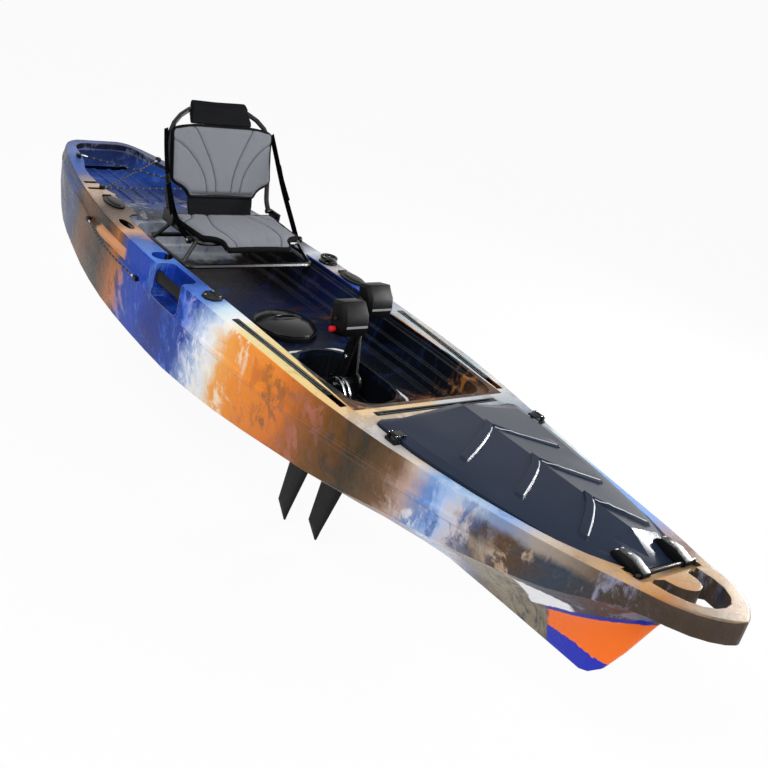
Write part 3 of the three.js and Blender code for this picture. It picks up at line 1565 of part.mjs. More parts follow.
// The pedal, drawn about its spindle, with its foot face turned aft.
function pedal() {
  const half = pedalHeight / 2;
  const depth = pedalDepth / 2;
  const section = (inset) => [
    [-depth + inset, -half + inset],
    [depth * 0.7 - inset, -half + inset],
    [depth - inset, -half * 0.45],
    [depth - inset, half * 0.2],
    [depth * pedalTopShare - inset, half - inset],
    [-depth * 0.8 + inset, half - inset],
  ];
  const ring = (y, inset) => section(inset).map(([x, z]) => new THREE.Vector3(x, y, z));
  const chamfer = pedalWidth / 10;
  const body = loft([
    ring(0, chamfer),
    ring(chamfer, 0),
    ring(pedalWidth - chamfer, 0),
    ring(pedalWidth, chamfer),
  ]);
  const leaned = body.rotate([0, -pedalLean, 0]);
  const bore = cylinder(spindleRadius + runningGap / 2, 4 * pedalWidth, "y", 14);
  return without(leaned, bore);
}

function pullPin() {
  const shank = moved(cylinder(pedalPinRadius, pedalPinShank, "y", 12), 0, pedalPinShank / 2, 0);
  const head = cylinder(pedalPinHead, pedalPinHeadLength, "y", 16);
  return joined(shank, moved(head, 0, pedalPinShank + pedalPinHeadLength / 2, 0));
}

function fin(isFront) {
  const tip = finTip + (isFront ? finTipRise : 0) - finAxisZ;
  const root = finRoot - finAxisZ;
  const stations = [0, 0.25, 0.5, 0.7, finKneeShare, 1];
  const tall = root - tip;
  return loft(
    stations.map((share) => {
      const lead = finLead - finRake * share;
      const knee = clamp((share - finKneeShare) / (1 - finKneeShare), 0, 1);
      const chord = THREE.MathUtils.lerp(finChord, finChord * 0.62, share / finKneeShare);
      const long = THREE.MathUtils.lerp(Math.min(finChord, chord), finChord / 12, knee);
      const thick = (finThickness / 2) * (1 - 0.55 * share);
      const z = root - tall * share;
      return [
        [0, 0], [-0.08, 0.8], [-0.25, 1], [-0.6, 0.6], [-1, 0.08],
        [-1, -0.08], [-0.6, -0.6], [-0.25, -1], [-0.08, -0.8],
      ].map(([along, out]) => new THREE.Vector3(lead + long * along, thick * out, z));
    }),
  );
}

// The mast's hub turns on the drive's shaft, and its rod runs down inside the fin.
function mastPieces(isFront) {
  const hub = cylinder(finHubRadius, finHubLength, "x", 24);
  const slope = finRake / (finRoot - finTip);
  const rodTo = (depth, radius) => {
    const at = (down) => [finLead - finHubRadius - slope * down, 0, -down];
    return rodBetween(at(2 * finShaftRadius), at(depth), radius, 12);
  };
  const rod = rodTo(mastLength, mastRadius);
  const socket = rodTo(mastLength + runningGap, mastRadius + touchGap);
  const bore = cylinder(finShaftRadius + touchGap, 3 * finHubLength, "x", 20);
  return { mast: without(joined(hub, rod), bore), blade: without(fin(isFront), socket) };
}

function pedalDrive(parent) {
  piece(parent, "drive_mount_plate", mountPlate(), "black");
  piece(parent, "drive_spine", spine(), "black", [crankX, 0, crankZ]);
  const axle = cylinder(crankAxleRadius, 2 * (crankArmY + crankArmThickness + drumPinLength), "y", 20);
  piece(parent, "crank_axle", axle, "silver", [crankX, 0, crankZ]);
  sides.forEach(([side, sign]) => {
    const facing = (solid) => (sign < 0 ? mirrored(solid) : solid);
    const crank = groupAt(parent, crankX, sign * crankArmY, crankZ, -sign * degrees(crankRest));
    piece(crank, `crank_arm_${side}`, facing(crankArm()), "satinBlack");
    const offset = crankArmThickness + pedalGap;
    const foot = groupAt(crank, 0, sign * offset, crankLength, sign * degrees(crankRest));
    const hole = cylinder(pedalPinRadius + touchGap, 2 * pedalPinShank, "y", 12);
    const outer = moved(hole, 0, pedalWidth, -pedalPinDrop);
    const body = without(pedal(), outer);
    piece(foot, `pedal_${side}`, facing(body), "black");
    const pinY = sign * (pedalWidth - pedalPinShank + touchGap);
    piece(foot, `pedal_pin_${side}`, facing(pullPin()), "red", [0, pinY, -pedalPinDrop]);
  });
  [["rear", finHubXs[0], false], ["front", finHubXs[1], true]].forEach(([end, x, isFront]) => {
    const { mast, blade } = mastPieces(isFront);
    piece(parent, `mast_${end}`, mast, "silver", [x, 0, finAxisZ]);
    piece(parent, `fin_${end}`, blade, "blade", [x, 0, finAxisZ]);
  });
}

// Seat

const baseTubeZ = shelfHeight + tubeRadius + touchGap;

function seatBase(radius) {
  const lap = 3 * tubeRadius;
  const corners = [
    [baseRear, -lap, baseTubeZ],
    [baseRear, -baseHalfWidth, baseTubeZ],
    [baseFront, -baseHalfWidth, baseTubeZ],
    [baseFront, baseHalfWidth, baseTubeZ],
    [baseRear, baseHalfWidth, baseTubeZ],
    [baseRear, lap, baseTubeZ],
  ];
  const sleeve = rodBetween(
    [baseRear, -2 * lap, baseTubeZ],
    [baseRear, 2 * lap, baseTubeZ],
    radius + sleeveProud,
    10,
  );
  return joined(tube(bentLine(corners, tubeBend), radius, 8), sleeve);
}

function seatPanFrame() {
  const lap = 3 * tubeRadius;
  const corners = [
    [panRearX, -lap, panTubeZ],
    [panRearX, -panTubeHalfWidth, panTubeZ],
    [panFrontX, -panTubeHalfWidth, panTubeZ],
    [panFrontX, panTubeHalfWidth, panTubeZ],
    [panRearX, panTubeHalfWidth, panTubeZ],
    [panRearX, lap, panTubeZ],
  ];
  const sleeve = rodBetween(
    [panRearX, -2 * lap, panTubeZ],
    [panRearX, 2 * lap, panTubeZ],
    tubeRadius + sleeveProud,
    10,
  );
  const loop = joined(tube(bentLine(corners, tubeBend), tubeRadius, 8), sleeve);
  const fittings = [];
  [-1, 1].forEach((sign) => {
    [[baseFront, panFrontX - tubeBend / 2], [baseRear, panRearX + tubeBend / 2]].forEach(([low, high]) => {
      const foot = [THREE.MathUtils.lerp(low, high, 0.6), sign * baseHalfWidth, baseTubeZ];
      fittings.push(rodBetween(foot, [high, sign * panTubeHalfWidth, panTubeZ], seatLegRadius, 10));
    });
    const lugY = backTubeHalfWidth + hingeFootLength / 2 + touchGap + lugThickness / 2;
    const pinLength = hingeFootLength + lugThickness + touchGap;
    const lugLength = panRearX + tubeBend - seatHingeX + 2 * tubeRadius;
    const lug = box(lugLength, lugThickness, seatHingeZ - panTubeZ + tubeRadius);
    const lugX = (panRearX + tubeBend + seatHingeX) / 2;
    const pinY = lugY + lugThickness / 2 - pinLength / 2;
    const lugZ = (seatHingeZ + panTubeZ + tubeRadius / 2) / 2;
    const pin = cylinder(hingePinRadius, pinLength, "y", 12);
    fittings.push(moved(lug, lugX, sign * lugY, lugZ));
    fittings.push(moved(pin, seatHingeX, sign * pinY, seatHingeZ));
  });
  const knobs = [-1, 1].map((sign) => cornerKnob(sign, touchGap));
  return without(joined(loop, ...fittings), seatBase(tubeRadius + touchGap), ...knobs);
}

// A knob that clamps a strap's end against the pan's tube.
function cornerKnob(sign, grow = 0) {
  const inner = panTubeHalfWidth + tubeRadius + strapThickness + 2 * touchGap;
  const knob = cylinder(knobRadius + grow, knobLength + 2 * grow, "y", 10);
  return moved(knob, panFrontX - tubeBend, sign * (inner + knobLength / 2), panTubeZ);
}

// A sewn cushion from rows along it. Each row gives its width, foot and loft, and the
// seams run through it as shares of its half width.
function cushion({ rows, widthAt, footAt, thickness, crown, seams, seamDepth, point }) {
  const border = 0.94;
  return loft(
    rows.map((row, i) => {
      const width = widthAt(row);
      const atEnd = i === 0 || i === rows.length - 1;
      const nextToEnd = i === 1 || i === rows.length - 2;
      const swell = atEnd ? padEdgeShare : 1;
      const lines = seams.map((seam) => seam(row)).sort((a, b) => a - b);
      const groove = padSeamDepth / width;
      const across = [[-1, 0], [-border, 0]];
      lines.forEach((line, k) => {
        const from = k === 0 ? -border : lines[k - 1] + groove;
        across.push([(from + line - groove) / 2, 0], [line - groove, 0], [line, 1], [line + groove, 0]);
      });
      across.push([(lines[lines.length - 1] + groove + border) / 2, 0], [border, 0], [1, 0]);
      const rise = ([share, dip]) => {
        const edge = Math.abs(share) === 1 ? padEdgeShare : 1;
        const dome = crown * (1 - share * share) * (atEnd || nextToEnd ? 0 : 1);
        return thickness * Math.min(edge, swell) + dome - dip * seamDepth * (atEnd ? 0 : 1);
      };
      const top = across.map((column) => point(row, column[0] * width, footAt(row) + rise(column)));
      const bottom = [1, 0.5, 0, -0.5, -1].map((share) => point(row, share * width * 0.995, footAt(row)));
      return [...top, ...bottom];
    }),
  );
}

function seatPad() {
  const widthAt = (x) => {
    if (x <= panFrontX) {
      const share = (x - padRearX) / (panFrontX - padRearX);
      return THREE.MathUtils.lerp(padRearHalfWidth, padFrontHalfWidth, clamp(share, 0, 1));
    }
    const share = clamp((x - panFrontX) / ((padNoseX - panFrontX) * 0.72), 0, 1);
    return padNoseHalfWidth + (padFrontHalfWidth - padNoseHalfWidth) * (1 - share) ** 2;
  };
  const foot = panTubeZ + tubeRadius + sleeveProud + touchGap;
  const footAt = (x) => {
    const ahead = clamp((x - panFrontX - tubeRadius) / (padNoseX - panFrontX - tubeRadius), 0, 1);
    return foot - padNoseDrop * ahead * ahead;
  };
  const front = padNoseX - panFrontX;
  const rear = panFrontX - padRearX;
  const rows = [
    ...[0, 0.04, 0.2, 0.36, 0.52, 0.68, 0.84].map((share) => padRearX + rear * share),
    ...[0, 0.12, 0.26, 0.42, 0.58, 0.74, 0.88, 1].map((share) => panFrontX + front * share),
  ];
  const bow = (x) => clamp((x - padRearX) / (padNoseX - padRearX), 0, 1);
  const seams = [-1, 1].flatMap((sign) => [
    (x) => sign * (0.62 - 0.3 * (1 - bow(x)) ** 2),
    (x) => sign * (0.26 - 0.1 * (1 - bow(x))),
  ]);
  const point = (x, y, z) => new THREE.Vector3(x, y, z);
  const form = { rows, widthAt, footAt, thickness: padThickness, crown: padCrown };
  return cushion({ ...form, seams, seamDepth: padSeamDepth, point });
}

function backPad() {
  const widthAt = (z) => {
    const low = clamp((z - backPadBottom) / backPadFlare, 0, 1);
    const high = clamp((backPadTop - z) / backPadShoulder, 0, 1);
    const foot = backPadFootHalfWidth + (backPadHalfWidth - backPadFootHalfWidth) * low ** 2.2;
    const head = backPadHeadHalfWidth + (backPadHalfWidth - backPadHeadHalfWidth) * high ** 0.7;
    return Math.min(foot, head);
  };
  const tall = backPadTop - backPadBottom;
  const shares = [0, 0.05, 0.1, 0.15, 0.2, 0.24, 0.36, 0.5, 0.64, 0.78, 0.88, 0.94, 0.965, 0.985, 1];
  const rows = shares.map((share) => backPadBottom + tall * share);
  const up = (z) => (z - backPadBottom) / tall;
  const seams = [-1, 1].flatMap((sign) => [
    (z) => sign * (0.17 + 0.34 * up(z) ** 1.6),
    (z) => sign * (0.4 + 0.42 * up(z) ** 1.3),
  ]);
  const footAt = () => tubeRadius - backTubeSet + touchGap;
  const point = (z, y, x) => new THREE.Vector3(x, -y, z);
  const form = { rows, widthAt, footAt, thickness: backPadThickness, crown: backPadCrown };
  return cushion({ ...form, seams, seamDepth: padSeamDepth, point });
}

function backFrameLine() {
  const half = [
    [0, backTubeHalfWidth, 0],
    [-backTubeSet, backTubeHalfWidth, backTubeKick],
    [-backTubeSet, backTubeHalfWidth, backShoulder],
    [-backCrownSet, backCrownHalfWidth, backCrownHeight],
  ];
  const other = half.map(([x, y, z]) => [x, -y, z]).reverse();
  return [...half, ...other];
}

function backFrame(radius) {
  const line = bentLine(backFrameLine(), 2 * tubeBend);
  const feet = [-1, 1].map((sign) =>
    moved(cylinder(hingeFootRadius, hingeFootLength, "y", 12), 0, sign * backTubeHalfWidth, 0),
  );
  const bore = cylinder(hingePinRadius + touchGap, 3 * backTubeHalfWidth, "y", 12);
  return joined(tube(line, radius, 8), ...feet).subtract(bore);
}

// Cloth wrapped over the crown of the back's tube.
function headPanel() {
  const levels = [
    [headPanelFrom, headPanelFootHalfWidth, 0.6],
    [headPanelFrom + headPanelHem, headPanelFootHalfWidth, 0.8],
    [backCrownHeight, headPanelHalfWidth, 1],
    [headPanelTo, headPanelHalfWidth * 0.96, 0.5],
  ];
  const panel = loft(
    levels.map(([z, width, full]) => {
      const share = (z - headPanelFrom) / (headPanelTo - headPanelFrom);
      const middle = -headPanelWrap - (backCrownSet - headPanelWrap) * share;
      const depth = (headPanelThickness / 2) * full;
      return [
        [middle - depth, -width * 0.96], [middle + depth, -width * 0.96], [middle + depth * 1.1, 0],
        [middle + depth, width * 0.96], [middle - depth, width * 0.96], [middle - depth * 1.1, 0],
      ].map(([x, y]) => new THREE.Vector3(x, y, z));
    }),
  );
  return without(panel, backFrame(tubeRadius + touchGap), backPadClearance());
}

function backPadClearance() {
  const depth = backPadThickness + backPadCrown + 2 * tubeRadius;
  return moved(box(2 * depth, 2 * backPadHalfWidth, backPadTop), 0, 0, backPadTop / 2 + 2 * touchGap);
}

function lumbarPanel() {
  const tall = backPadBottom - touchGap * 2 - lumbarFrom;
  const x = -backTubeSet + tubeRadius + lumbarThickness / 2 + touchGap;
  const [foot, head] = [lumbarHalfWidth, backPadFootHalfWidth];
  const outline = [[-foot, 0], [foot, 0], [head, tall], [-head, tall]];
  const flat = slab(outline, lumbarThickness).rotate([90, 0, 90]);
  return moved(flat, x - lumbarThickness / 2, 0, lumbarFrom);
}

// A strap from the top of the back to the pan's front corner, with its buckle.
function sideStrap() {
  const lean = degrees(backRecline);
  const top = new THREE.Vector3(
    seatHingeX - backTubeSet * Math.cos(lean) - backShoulder * 0.96 * Math.sin(lean),
    backTubeHalfWidth + tubeRadius + touchGap + strapThickness / 2,
    seatHingeZ - backTubeSet * Math.sin(lean) + backShoulder * 0.96 * Math.cos(lean),
  );
  const footY = panTubeHalfWidth + tubeRadius + touchGap + strapThickness / 2;
  const foot = new THREE.Vector3(panFrontX - tubeBend, footY, panTubeZ);
  const run = foot.clone().sub(top);
  const across = new THREE.Vector3(-run.z, 0, run.x).normalize();
  const section = (share, width, thickness) => {
    const sag = run.length() * strapSagShare * 4 * share * (1 - share);
    const middle = top.clone().addScaledVector(run, share);
    middle.z -= sag;
    return [[-1, -1], [1, -1], [1, 1], [-1, 1]].map(([wide, thick]) => {
      const point = middle.clone().addScaledVector(across, (wide * width) / 2);
      point.y += (thick * thickness) / 2;
      return point;
    });
  };
  const stations = [0, 0.14, 0.28, 0.42, 0.57, 0.71, 0.86, 1];
  const band = loft(stations.map((share) => section(share, strapWidth, strapThickness)));
  const half = buckleLength / 2 / run.length();
  const ends = [buckleShare - half, buckleShare + half];
  return joined(band, loft(ends.map((share) => section(share, buckleWidth, buckleThickness))));
}

function seat(parent) {
  piece(parent, "seat_base_frame", seatBase(tubeRadius), "satinBlack");
  piece(parent, "seat_pan_frame", seatPanFrame(), "satinBlack");
  piece(parent, "seat_pad", seatPad(), "cloth");
  sides.forEach(([side, sign]) => {
    const strap = sideStrap();
    piece(parent, `seat_strap_${side}`, sign < 0 ? mirrored(strap) : strap, "webbing");
    piece(parent, `seat_corner_knob_${side}`, cornerKnob(sign), "black");
  });
  const back = groupAt(parent, seatHingeX, 0, seatHingeZ, -degrees(backRecline));
  piece(back, "seat_back_frame", backFrame(tubeRadius), "satinBlack");
  piece(back, "back_pad", backPad(), "cloth");
  piece(back, "head_panel", headPanel(), "webbing");
  piece(back, "lumbar_panel", lumbarPanel(), "webbing");
}

rimFittings(kayak);
cords(kayak);
bowHatch(kayak);
floorHatch(kayak);
rudder(kayak);
pedalDrive(kayak);
seat(kayak);
piece(kayak, "hull", hull(), "hull");

export default kayak;
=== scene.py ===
"""Dresses the pedal kayak: swirled hull, bow hatch, mesh seat, drive, fittings and the studio."""

import json
import math

import bmesh
import bpy
from bpy.props import FloatProperty, FloatVectorProperty, IntProperty, PointerProperty
from mathutils import Matrix, Vector, kdtree, noise
from mathutils.bvhtree import BVHTree


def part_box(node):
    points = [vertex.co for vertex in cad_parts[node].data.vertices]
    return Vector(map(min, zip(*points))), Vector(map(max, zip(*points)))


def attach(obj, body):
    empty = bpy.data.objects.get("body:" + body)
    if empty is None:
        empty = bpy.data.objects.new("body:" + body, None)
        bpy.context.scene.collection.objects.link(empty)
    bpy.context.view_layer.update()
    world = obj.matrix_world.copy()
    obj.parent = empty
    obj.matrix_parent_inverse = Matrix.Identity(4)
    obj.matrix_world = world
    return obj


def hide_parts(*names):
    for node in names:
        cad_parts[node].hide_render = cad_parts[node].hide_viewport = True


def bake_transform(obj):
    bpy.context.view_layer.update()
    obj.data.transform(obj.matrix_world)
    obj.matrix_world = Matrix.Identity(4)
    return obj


bl_info = {
    "name": "Pedal Kayak",
    "version": (1, 0, 0),
    "blender": (4, 5, 0),
    "location": "View3D > Sidebar > Kayak",
    "description": "Makes the finished pieces of a pedal kayak over its packed frame",
    "category": "Object",
}

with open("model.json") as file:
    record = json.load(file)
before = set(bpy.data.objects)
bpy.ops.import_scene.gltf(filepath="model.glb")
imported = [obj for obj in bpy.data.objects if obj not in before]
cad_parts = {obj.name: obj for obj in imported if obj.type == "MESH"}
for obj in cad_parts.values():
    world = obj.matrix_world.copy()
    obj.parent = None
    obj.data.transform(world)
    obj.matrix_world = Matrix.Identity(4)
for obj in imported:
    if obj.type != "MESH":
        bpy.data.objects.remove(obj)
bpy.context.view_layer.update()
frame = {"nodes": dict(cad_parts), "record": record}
SIDES = (("starboard", -1.0), ("port", 1.0))
RAMP_REACH = 2.1  # the colour tables run this far fore and aft of amidships
SMALL_ROUND = 0.0022  # how far a fitting's edges look rounded
ABOVE = 1.2  # a height over the whole boat, from which lines fall on the solids
DOWN = (0, 0, -1)
BEVEL_ANGLE = math.radians(32)
CORD_RADIUS = 0.0034
TRACK_START, TRACK_LENGTH = 0.015, 0.591  # a gear track's rear end and its run
TRACK_WIDE, TRACK_TAPER = 0.403, 0.027  # its distance from the middle, and how far that narrows
LID_LENGTH, CHEVRON_RUN, CHEVRON_FACE = 0.971, 0.134, 0.0165
PROUD = 0.0004  # how far thin trim stands off what it lies on
CHEVRON_SHARES = (0.2, 0.437, 0.684)
SEAT_HINGE = Vector((-0.825, 0, 0.592))
AXLE_STRAP = ((0.245, 0.318), (0.275, 0.336), (0.318, 0.334), (0.352, 0.306), (0.366, 0.262), (0.372, 0.215))
WELL_CORNERS = ((0.43, 0.096), (0.058, 0.096), (0.058, -0.096), (0.43, -0.096))
WELL_ROUND = 0.054
CAMERA_PLACE = (3.319, -2.749, 2.115)
CAMERA_RIGHT, CAMERA_LOOK = Vector((0.595, 0.768, 0.238)), Vector((-0.662, 0.636, -0.398))
BOAT_MIDDLE, LID_NOSE = Vector((0.1, 0, 0.3)), Vector((1.7, 0, 0.5))  # what the lamps aim at


# Sizes and colours that a user would change


class HullSettings(bpy.types.PropertyGroup):
    """The hull's plastic."""

    grain: FloatProperty(name="Grain", description="Height of the moulded grain", default=0.0005, unit="LENGTH")
    edge_round: FloatProperty(
        name="Edge round", description="Softness of moulded edges", default=0.005, unit="LENGTH")
    swirl: FloatProperty(
        name="Swirl", description="How far the colours run into each other", default=0.085, unit="LENGTH")
    gloss: FloatProperty(name="Roughness", description="Roughness of the plastic", default=0.3, min=0.0, max=1.0)


class SeatSettings(bpy.types.PropertyGroup):
    """The seat's cloth and stitches."""

    cloth: FloatVectorProperty(
        name="Cloth", description="Colour of the mesh cloth", subtype="COLOR", default=(0.24, 0.25, 0.285))
    thread: FloatVectorProperty(
        name="Thread", description="Colour of the stitches", subtype="COLOR", default=(0.07, 0.07, 0.08))
    stitch: FloatProperty(name="Stitch", description="Length of a stitch", default=0.007, unit="LENGTH")
    lean: FloatProperty(name="Lean", description="How far the back leans", default=0.27925, unit="ROTATION")
    binding: FloatProperty(name="Binding", description="Radius of the bound edge", default=0.006, unit="LENGTH")


class FittingSettings(bpy.types.PropertyGroup):
    """Hardware."""

    bevel: FloatProperty(name="Bevel", description="Width of small rounded edges", default=0.0012, unit="LENGTH")
    black: FloatVectorProperty(
        name="Black", description="Colour of moulded fittings", subtype="COLOR", default=(0.004, 0.004, 0.005))
    red: FloatVectorProperty(
        name="Red", description="Colour of the pull pins", subtype="COLOR", default=(0.62, 0.012, 0.02))
    braid_turns: IntProperty(name="Braid", description="Strands shown along a metre of cord", default=260, min=20)


class StageSettings(bpy.types.PropertyGroup):
    """Camera, lamps and floor."""

    lens: FloatProperty(name="Lens", description="Focal length", default=54.56)
    key: FloatProperty(name="Key", description="Power of the main lamp", default=175.0, unit="POWER")
    fill: FloatProperty(name="Fill", description="Power of the filling lamps", default=90.0, unit="POWER")
    glint: FloatProperty(name="Glint", description="Power of the lamp that only shiny surfaces show", default=260.0)
    sky: FloatProperty(name="Sky", description="Strength of the room's light", default=0.45)


def settings(name):
    return getattr(bpy.context.scene, "kayak_" + name)


# Colours


def srgb(text):
    """A linear colour from six hexadecimal digits."""
    parts = [int(text[i : i + 2], 16) / 255 for i in (0, 2, 4)]
    return tuple(c / 12.92 if c <= 0.04045 else ((c + 0.055) / 1.055) ** 2.4 for c in parts) + (1.0,)


def scaled(colour, factor=1.0, lift=0.0):
    """A colour made darker or paler, no brighter than white."""
    return tuple(min(c * factor + lift, 1.0) for c in colour[:3]) + (1.0,)


# Material tools


class Nodes:
    """A short way to add and link nodes in a tree."""

    def __init__(self, tree):
        self.tree = tree

    def add(self, kind, inputs=None, **fields):
        node = self.tree.nodes.new(kind)
        for key, value in fields.items():
            setattr(node, key, value)
        for key, value in (inputs or {}).items():
            self.put(node.inputs[key], value)
        return node

    def put(self, socket, value):
        if isinstance(value, bpy.types.NodeSocket):
            self.tree.links.new(value, socket)
        else:
            socket.default_value = value

    def math(self, operation, a, b=None, clamp=False):
        node = self.add("ShaderNodeMath", operation=operation, use_clamp=clamp)
        self.put(node.inputs[0], a)
        if b is not None:
            self.put(node.inputs[1], b)
        return node.outputs[0]

    def times(self, first, *others):
        for other in others:
            first = self.math("MULTIPLY", first, other)
        return first

    def plus(self, first, other):
        return self.math("ADD", first, other)

    def less(self, first, other):
        return self.math("SUBTRACT", first, other)

    def split(self, vector):
        """The three parts of a vector."""
        return self.add("ShaderNodeSeparateXYZ", {0: vector}).outputs

    def edge(self, radius, samples, flat, sharp):
        """A normal rounded over edges, and a mask of those edges."""
        rounded = self.add("ShaderNodeBevel", {"Radius": radius}, samples=samples).outputs[0]
        plain = self.add("ShaderNodeNewGeometry").outputs["Normal"]
        match = self.add("ShaderNodeVectorMath", {0: rounded, 1: plain}, operation="DOT_PRODUCT")
        return rounded, self.step(match.outputs["Value"], flat, sharp)

    def seen(self):
        """1 for the rays that show the room: from the camera, or off or through a surface."""
        ray = self.add("ShaderNodeLightPath").outputs
        return self.greater(ray["Is Camera Ray"], self.greater(ray["Is Glossy Ray"], ray["Is Transmission Ray"]))

    def greater(self, first, other):
        return self.math("MAXIMUM", first, other)

    def size(self, value):
        return self.math("ABSOLUTE", value)

    def sine(self, value):
        return self.math("SINE", value)

    def step(self, value, low, high):
        """0 at low, 1 at high and smooth between. High may be the smaller."""
        node = self.add("ShaderNodeMapRange", interpolation_type="SMOOTHSTEP")
        for key, item in (("Value", value), ("From Min", low), ("From Max", high)):
            self.put(node.inputs[key], item)
        return node.outputs["Result"]

    def mix(self, factor, a, b, blend="MIX"):
        node = self.add("ShaderNodeMix", data_type="RGBA", blend_type=blend)
        self.put(node.inputs[0], factor)
        self.put(node.inputs[6], a)
        self.put(node.inputs[7], b)
        return node.outputs[2]

    def noise(self, vector, scale, detail=4.0, rough=0.55, distort=0.0):
        inputs = {"Vector": vector, "Scale": scale, "Detail": detail, "Roughness": rough, "Distortion": distort}
        return self.add("ShaderNodeTexNoise", inputs).outputs["Fac"]

    def place(self, vector, scale=(1, 1, 1), move=(0, 0, 0)):
        inputs = {"Vector": vector, "Location": move, "Scale": scale}
        return self.add("ShaderNodeMapping", inputs).outputs[0]

    def ramp(self, value, stops):
        """Colours along the hull, from (metres from amidships, colour) stops."""
        ends = {"Value": value, "From Min": -RAMP_REACH, "From Max": RAMP_REACH}
        share = self.add("ShaderNodeMapRange", ends).outputs["Result"]
        node = self.add("ShaderNodeValToRGB")
        places = node.color_ramp.elements
        while len(places) > 1:
            places.remove(places[-1])
        for i, (at, colour) in enumerate(stops):
            position = (at + RAMP_REACH) / (2 * RAMP_REACH)
            item = places[0] if i == 0 else places.new(position)
            item.position = position
            item.color = srgb(colour)
        self.put(node.inputs[0], share)
        return node.outputs[0]


def group_tree(name, inputs, outputs):
    """A new shader group with its sockets: returns its nodes, inputs and output node."""
    tree = bpy.data.node_groups.new(name, "ShaderNodeTree")
    for label, kind, value in inputs:
        socket = tree.interface.new_socket(label, in_out="INPUT", socket_type=kind)
        if value is not None:
            socket.default_value = value
    for label, kind in outputs:
        tree.interface.new_socket(label, in_out="OUTPUT", socket_type=kind)
    n = Nodes(tree)
    return n, n.add("NodeGroupInput"), n.add("NodeGroupOutput")


VECTOR, FLOAT, COLOUR = "NodeSocketVector", "NodeSocketFloat", "NodeSocketColor"


def grain_group():
    """Fine moulded texture: a height and a slight change of gloss."""
    n, i, o = group_tree(
        "Moulded grain",
        [("Vector", VECTOR, None), ("Scale", FLOAT, 900.0), ("Roughness", FLOAT, 0.4)],
        [("Height", FLOAT), ("Roughness", FLOAT)],
    )
    pebble = n.add("ShaderNodeTexVoronoi", {"Vector": i.outputs[0], "Scale": i.outputs[1]}).outputs["Distance"]
    cloud = n.noise(i.outputs[0], n.times(i.outputs[1], 0.12), 3.0)
    smear = n.noise(i.outputs[0], 7.0, 5.0)
    n.put(o.inputs[0], n.plus(pebble, n.times(cloud, 0.6)))
    shift = n.times(n.less(n.plus(smear, cloud), 1.0), 0.22)
    n.put(o.inputs[1], n.math("ADD", i.outputs[2], shift, clamp=True))


def wear_group():
    """A mask of scuffs: short scratches and rubbed patches."""
    n, i, o = group_tree("Scuffs", [("Vector", VECTOR, None), ("Amount", FLOAT, 0.3)], [("Mask", FLOAT)])
    lines = n.noise(n.place(i.outputs[0], (9, 60, 60)), 3.0, 6.0, 0.7, 0.4)
    patch = n.noise(i.outputs[0], 5.0, 4.0)
    both = n.times(n.step(lines, 0.56, 0.72), n.step(patch, 0.48, 0.66))
    n.put(o.inputs[0], n.times(both, i.outputs[1]))


def weave_group():
    """Over and under threads across a flat map in metres, with a fleck in the yarn and painted shade where the weave
    is low.
    """
    n, i, o = group_tree(
        "Woven cloth",
        [("Vector", VECTOR, None), ("Threads", FLOAT, 900.0), ("Colour", COLOUR, None), ("Fleck", FLOAT, 0.3)],
        [("Colour", COLOUR), ("Height", FLOAT)],
    )
    spread = n.add("ShaderNodeVectorMath", {0: i.outputs[0], 3: i.outputs[1]}, operation="SCALE")
    u, v, _ = n.split(spread.outputs[0])
    warp, weft = n.sine(u), n.sine(v)
    threads = n.plus(n.size(warp), n.size(weft))
    height = n.plus(n.times(threads, 0.4), n.times(warp, weft, 0.2))
    fleck = n.noise(n.place(i.outputs[0], (120, 900, 1)), 1.0, 2.0)
    # Painted shade: the threads are darker where the weave is low.
    dark = n.less(1.0, n.times(n.step(height, 0.55, 0.2), 0.55))
    tone = n.times(dark, n.plus(0.85, n.times(fleck, i.outputs[3])))
    grey = n.add("ShaderNodeCombineColor", {0: tone, 1: tone, 2: tone}).outputs[0]
    n.put(o.inputs[0], n.mix(1.0, i.outputs[2], grey, "MULTIPLY"))
    n.put(o.inputs[1], height)


# The hull's colours along its length, in metres from amidships.
SIDE_COLOURS = (
    (-2.1, "1a1a30"), (-1.74, "142a58"), (-1.58, "22386e"), (-1.5, "4c3a34"), (-1.4, "74481f"),
    (-1.22, "4a3320"), (-1.1, "28211d"), (-1.0, "8a5628"), (-0.95, "b8682a"), (-0.88, "5d453a"),
    (-0.82, "1a44a6"), (-0.62, "1140b4"), (-0.45, "0c2a86"), (-0.25, "1842a2"), (-0.14, "a9c2e8"),
    (-0.07, "eef2fa"), (0.0, "f1dcc2"), (0.05, "f7a850"), (0.2, "ee8d2c"), (0.42, "d9762a"),
    (0.54, "a05c2a"), (0.66, "70481f"), (0.8, "3c3020"), (0.95, "6e5138"), (1.03, "b59a90"),
    (1.1, "5f86c4"), (1.17, "a9c0e6"), (1.24, "c8c0c4"), (1.3, "6a6f84"), (1.4, "573f28"),
    (1.55, "35404e"), (1.75, "44382f"),
)
STREAK_COLOURS = (
    (-2.1, "767c92"), (-1.9, "8f93a4"), (-1.7, "1a1a30"), (-1.48, "8a5a2c"), (-1.3, "4a3a34"),
    (-1.12, "2e2b2a"), (-0.96, "7c4f2c"), (-0.84, "d87f44"), (-0.7, "5b97ea"), (-0.5, "0c2460"),
    (-0.3, "2e6be0"), (-0.12, "ffffff"), (0.08, "fff0d0"), (0.2, "d9762c"), (0.36, "8a5a2c"),
    (0.52, "b06a58"), (0.68, "38302a"), (0.85, "2e3532"), (1.0, "a58263"), (1.12, "e8eef8"),
    (1.2, "3f62a8"), (1.32, "3c3020"), (1.46, "c3a98c"), (1.6, "3a4658"), (1.72, "9091a8"),
    (1.85, "2b2b3c"),
)
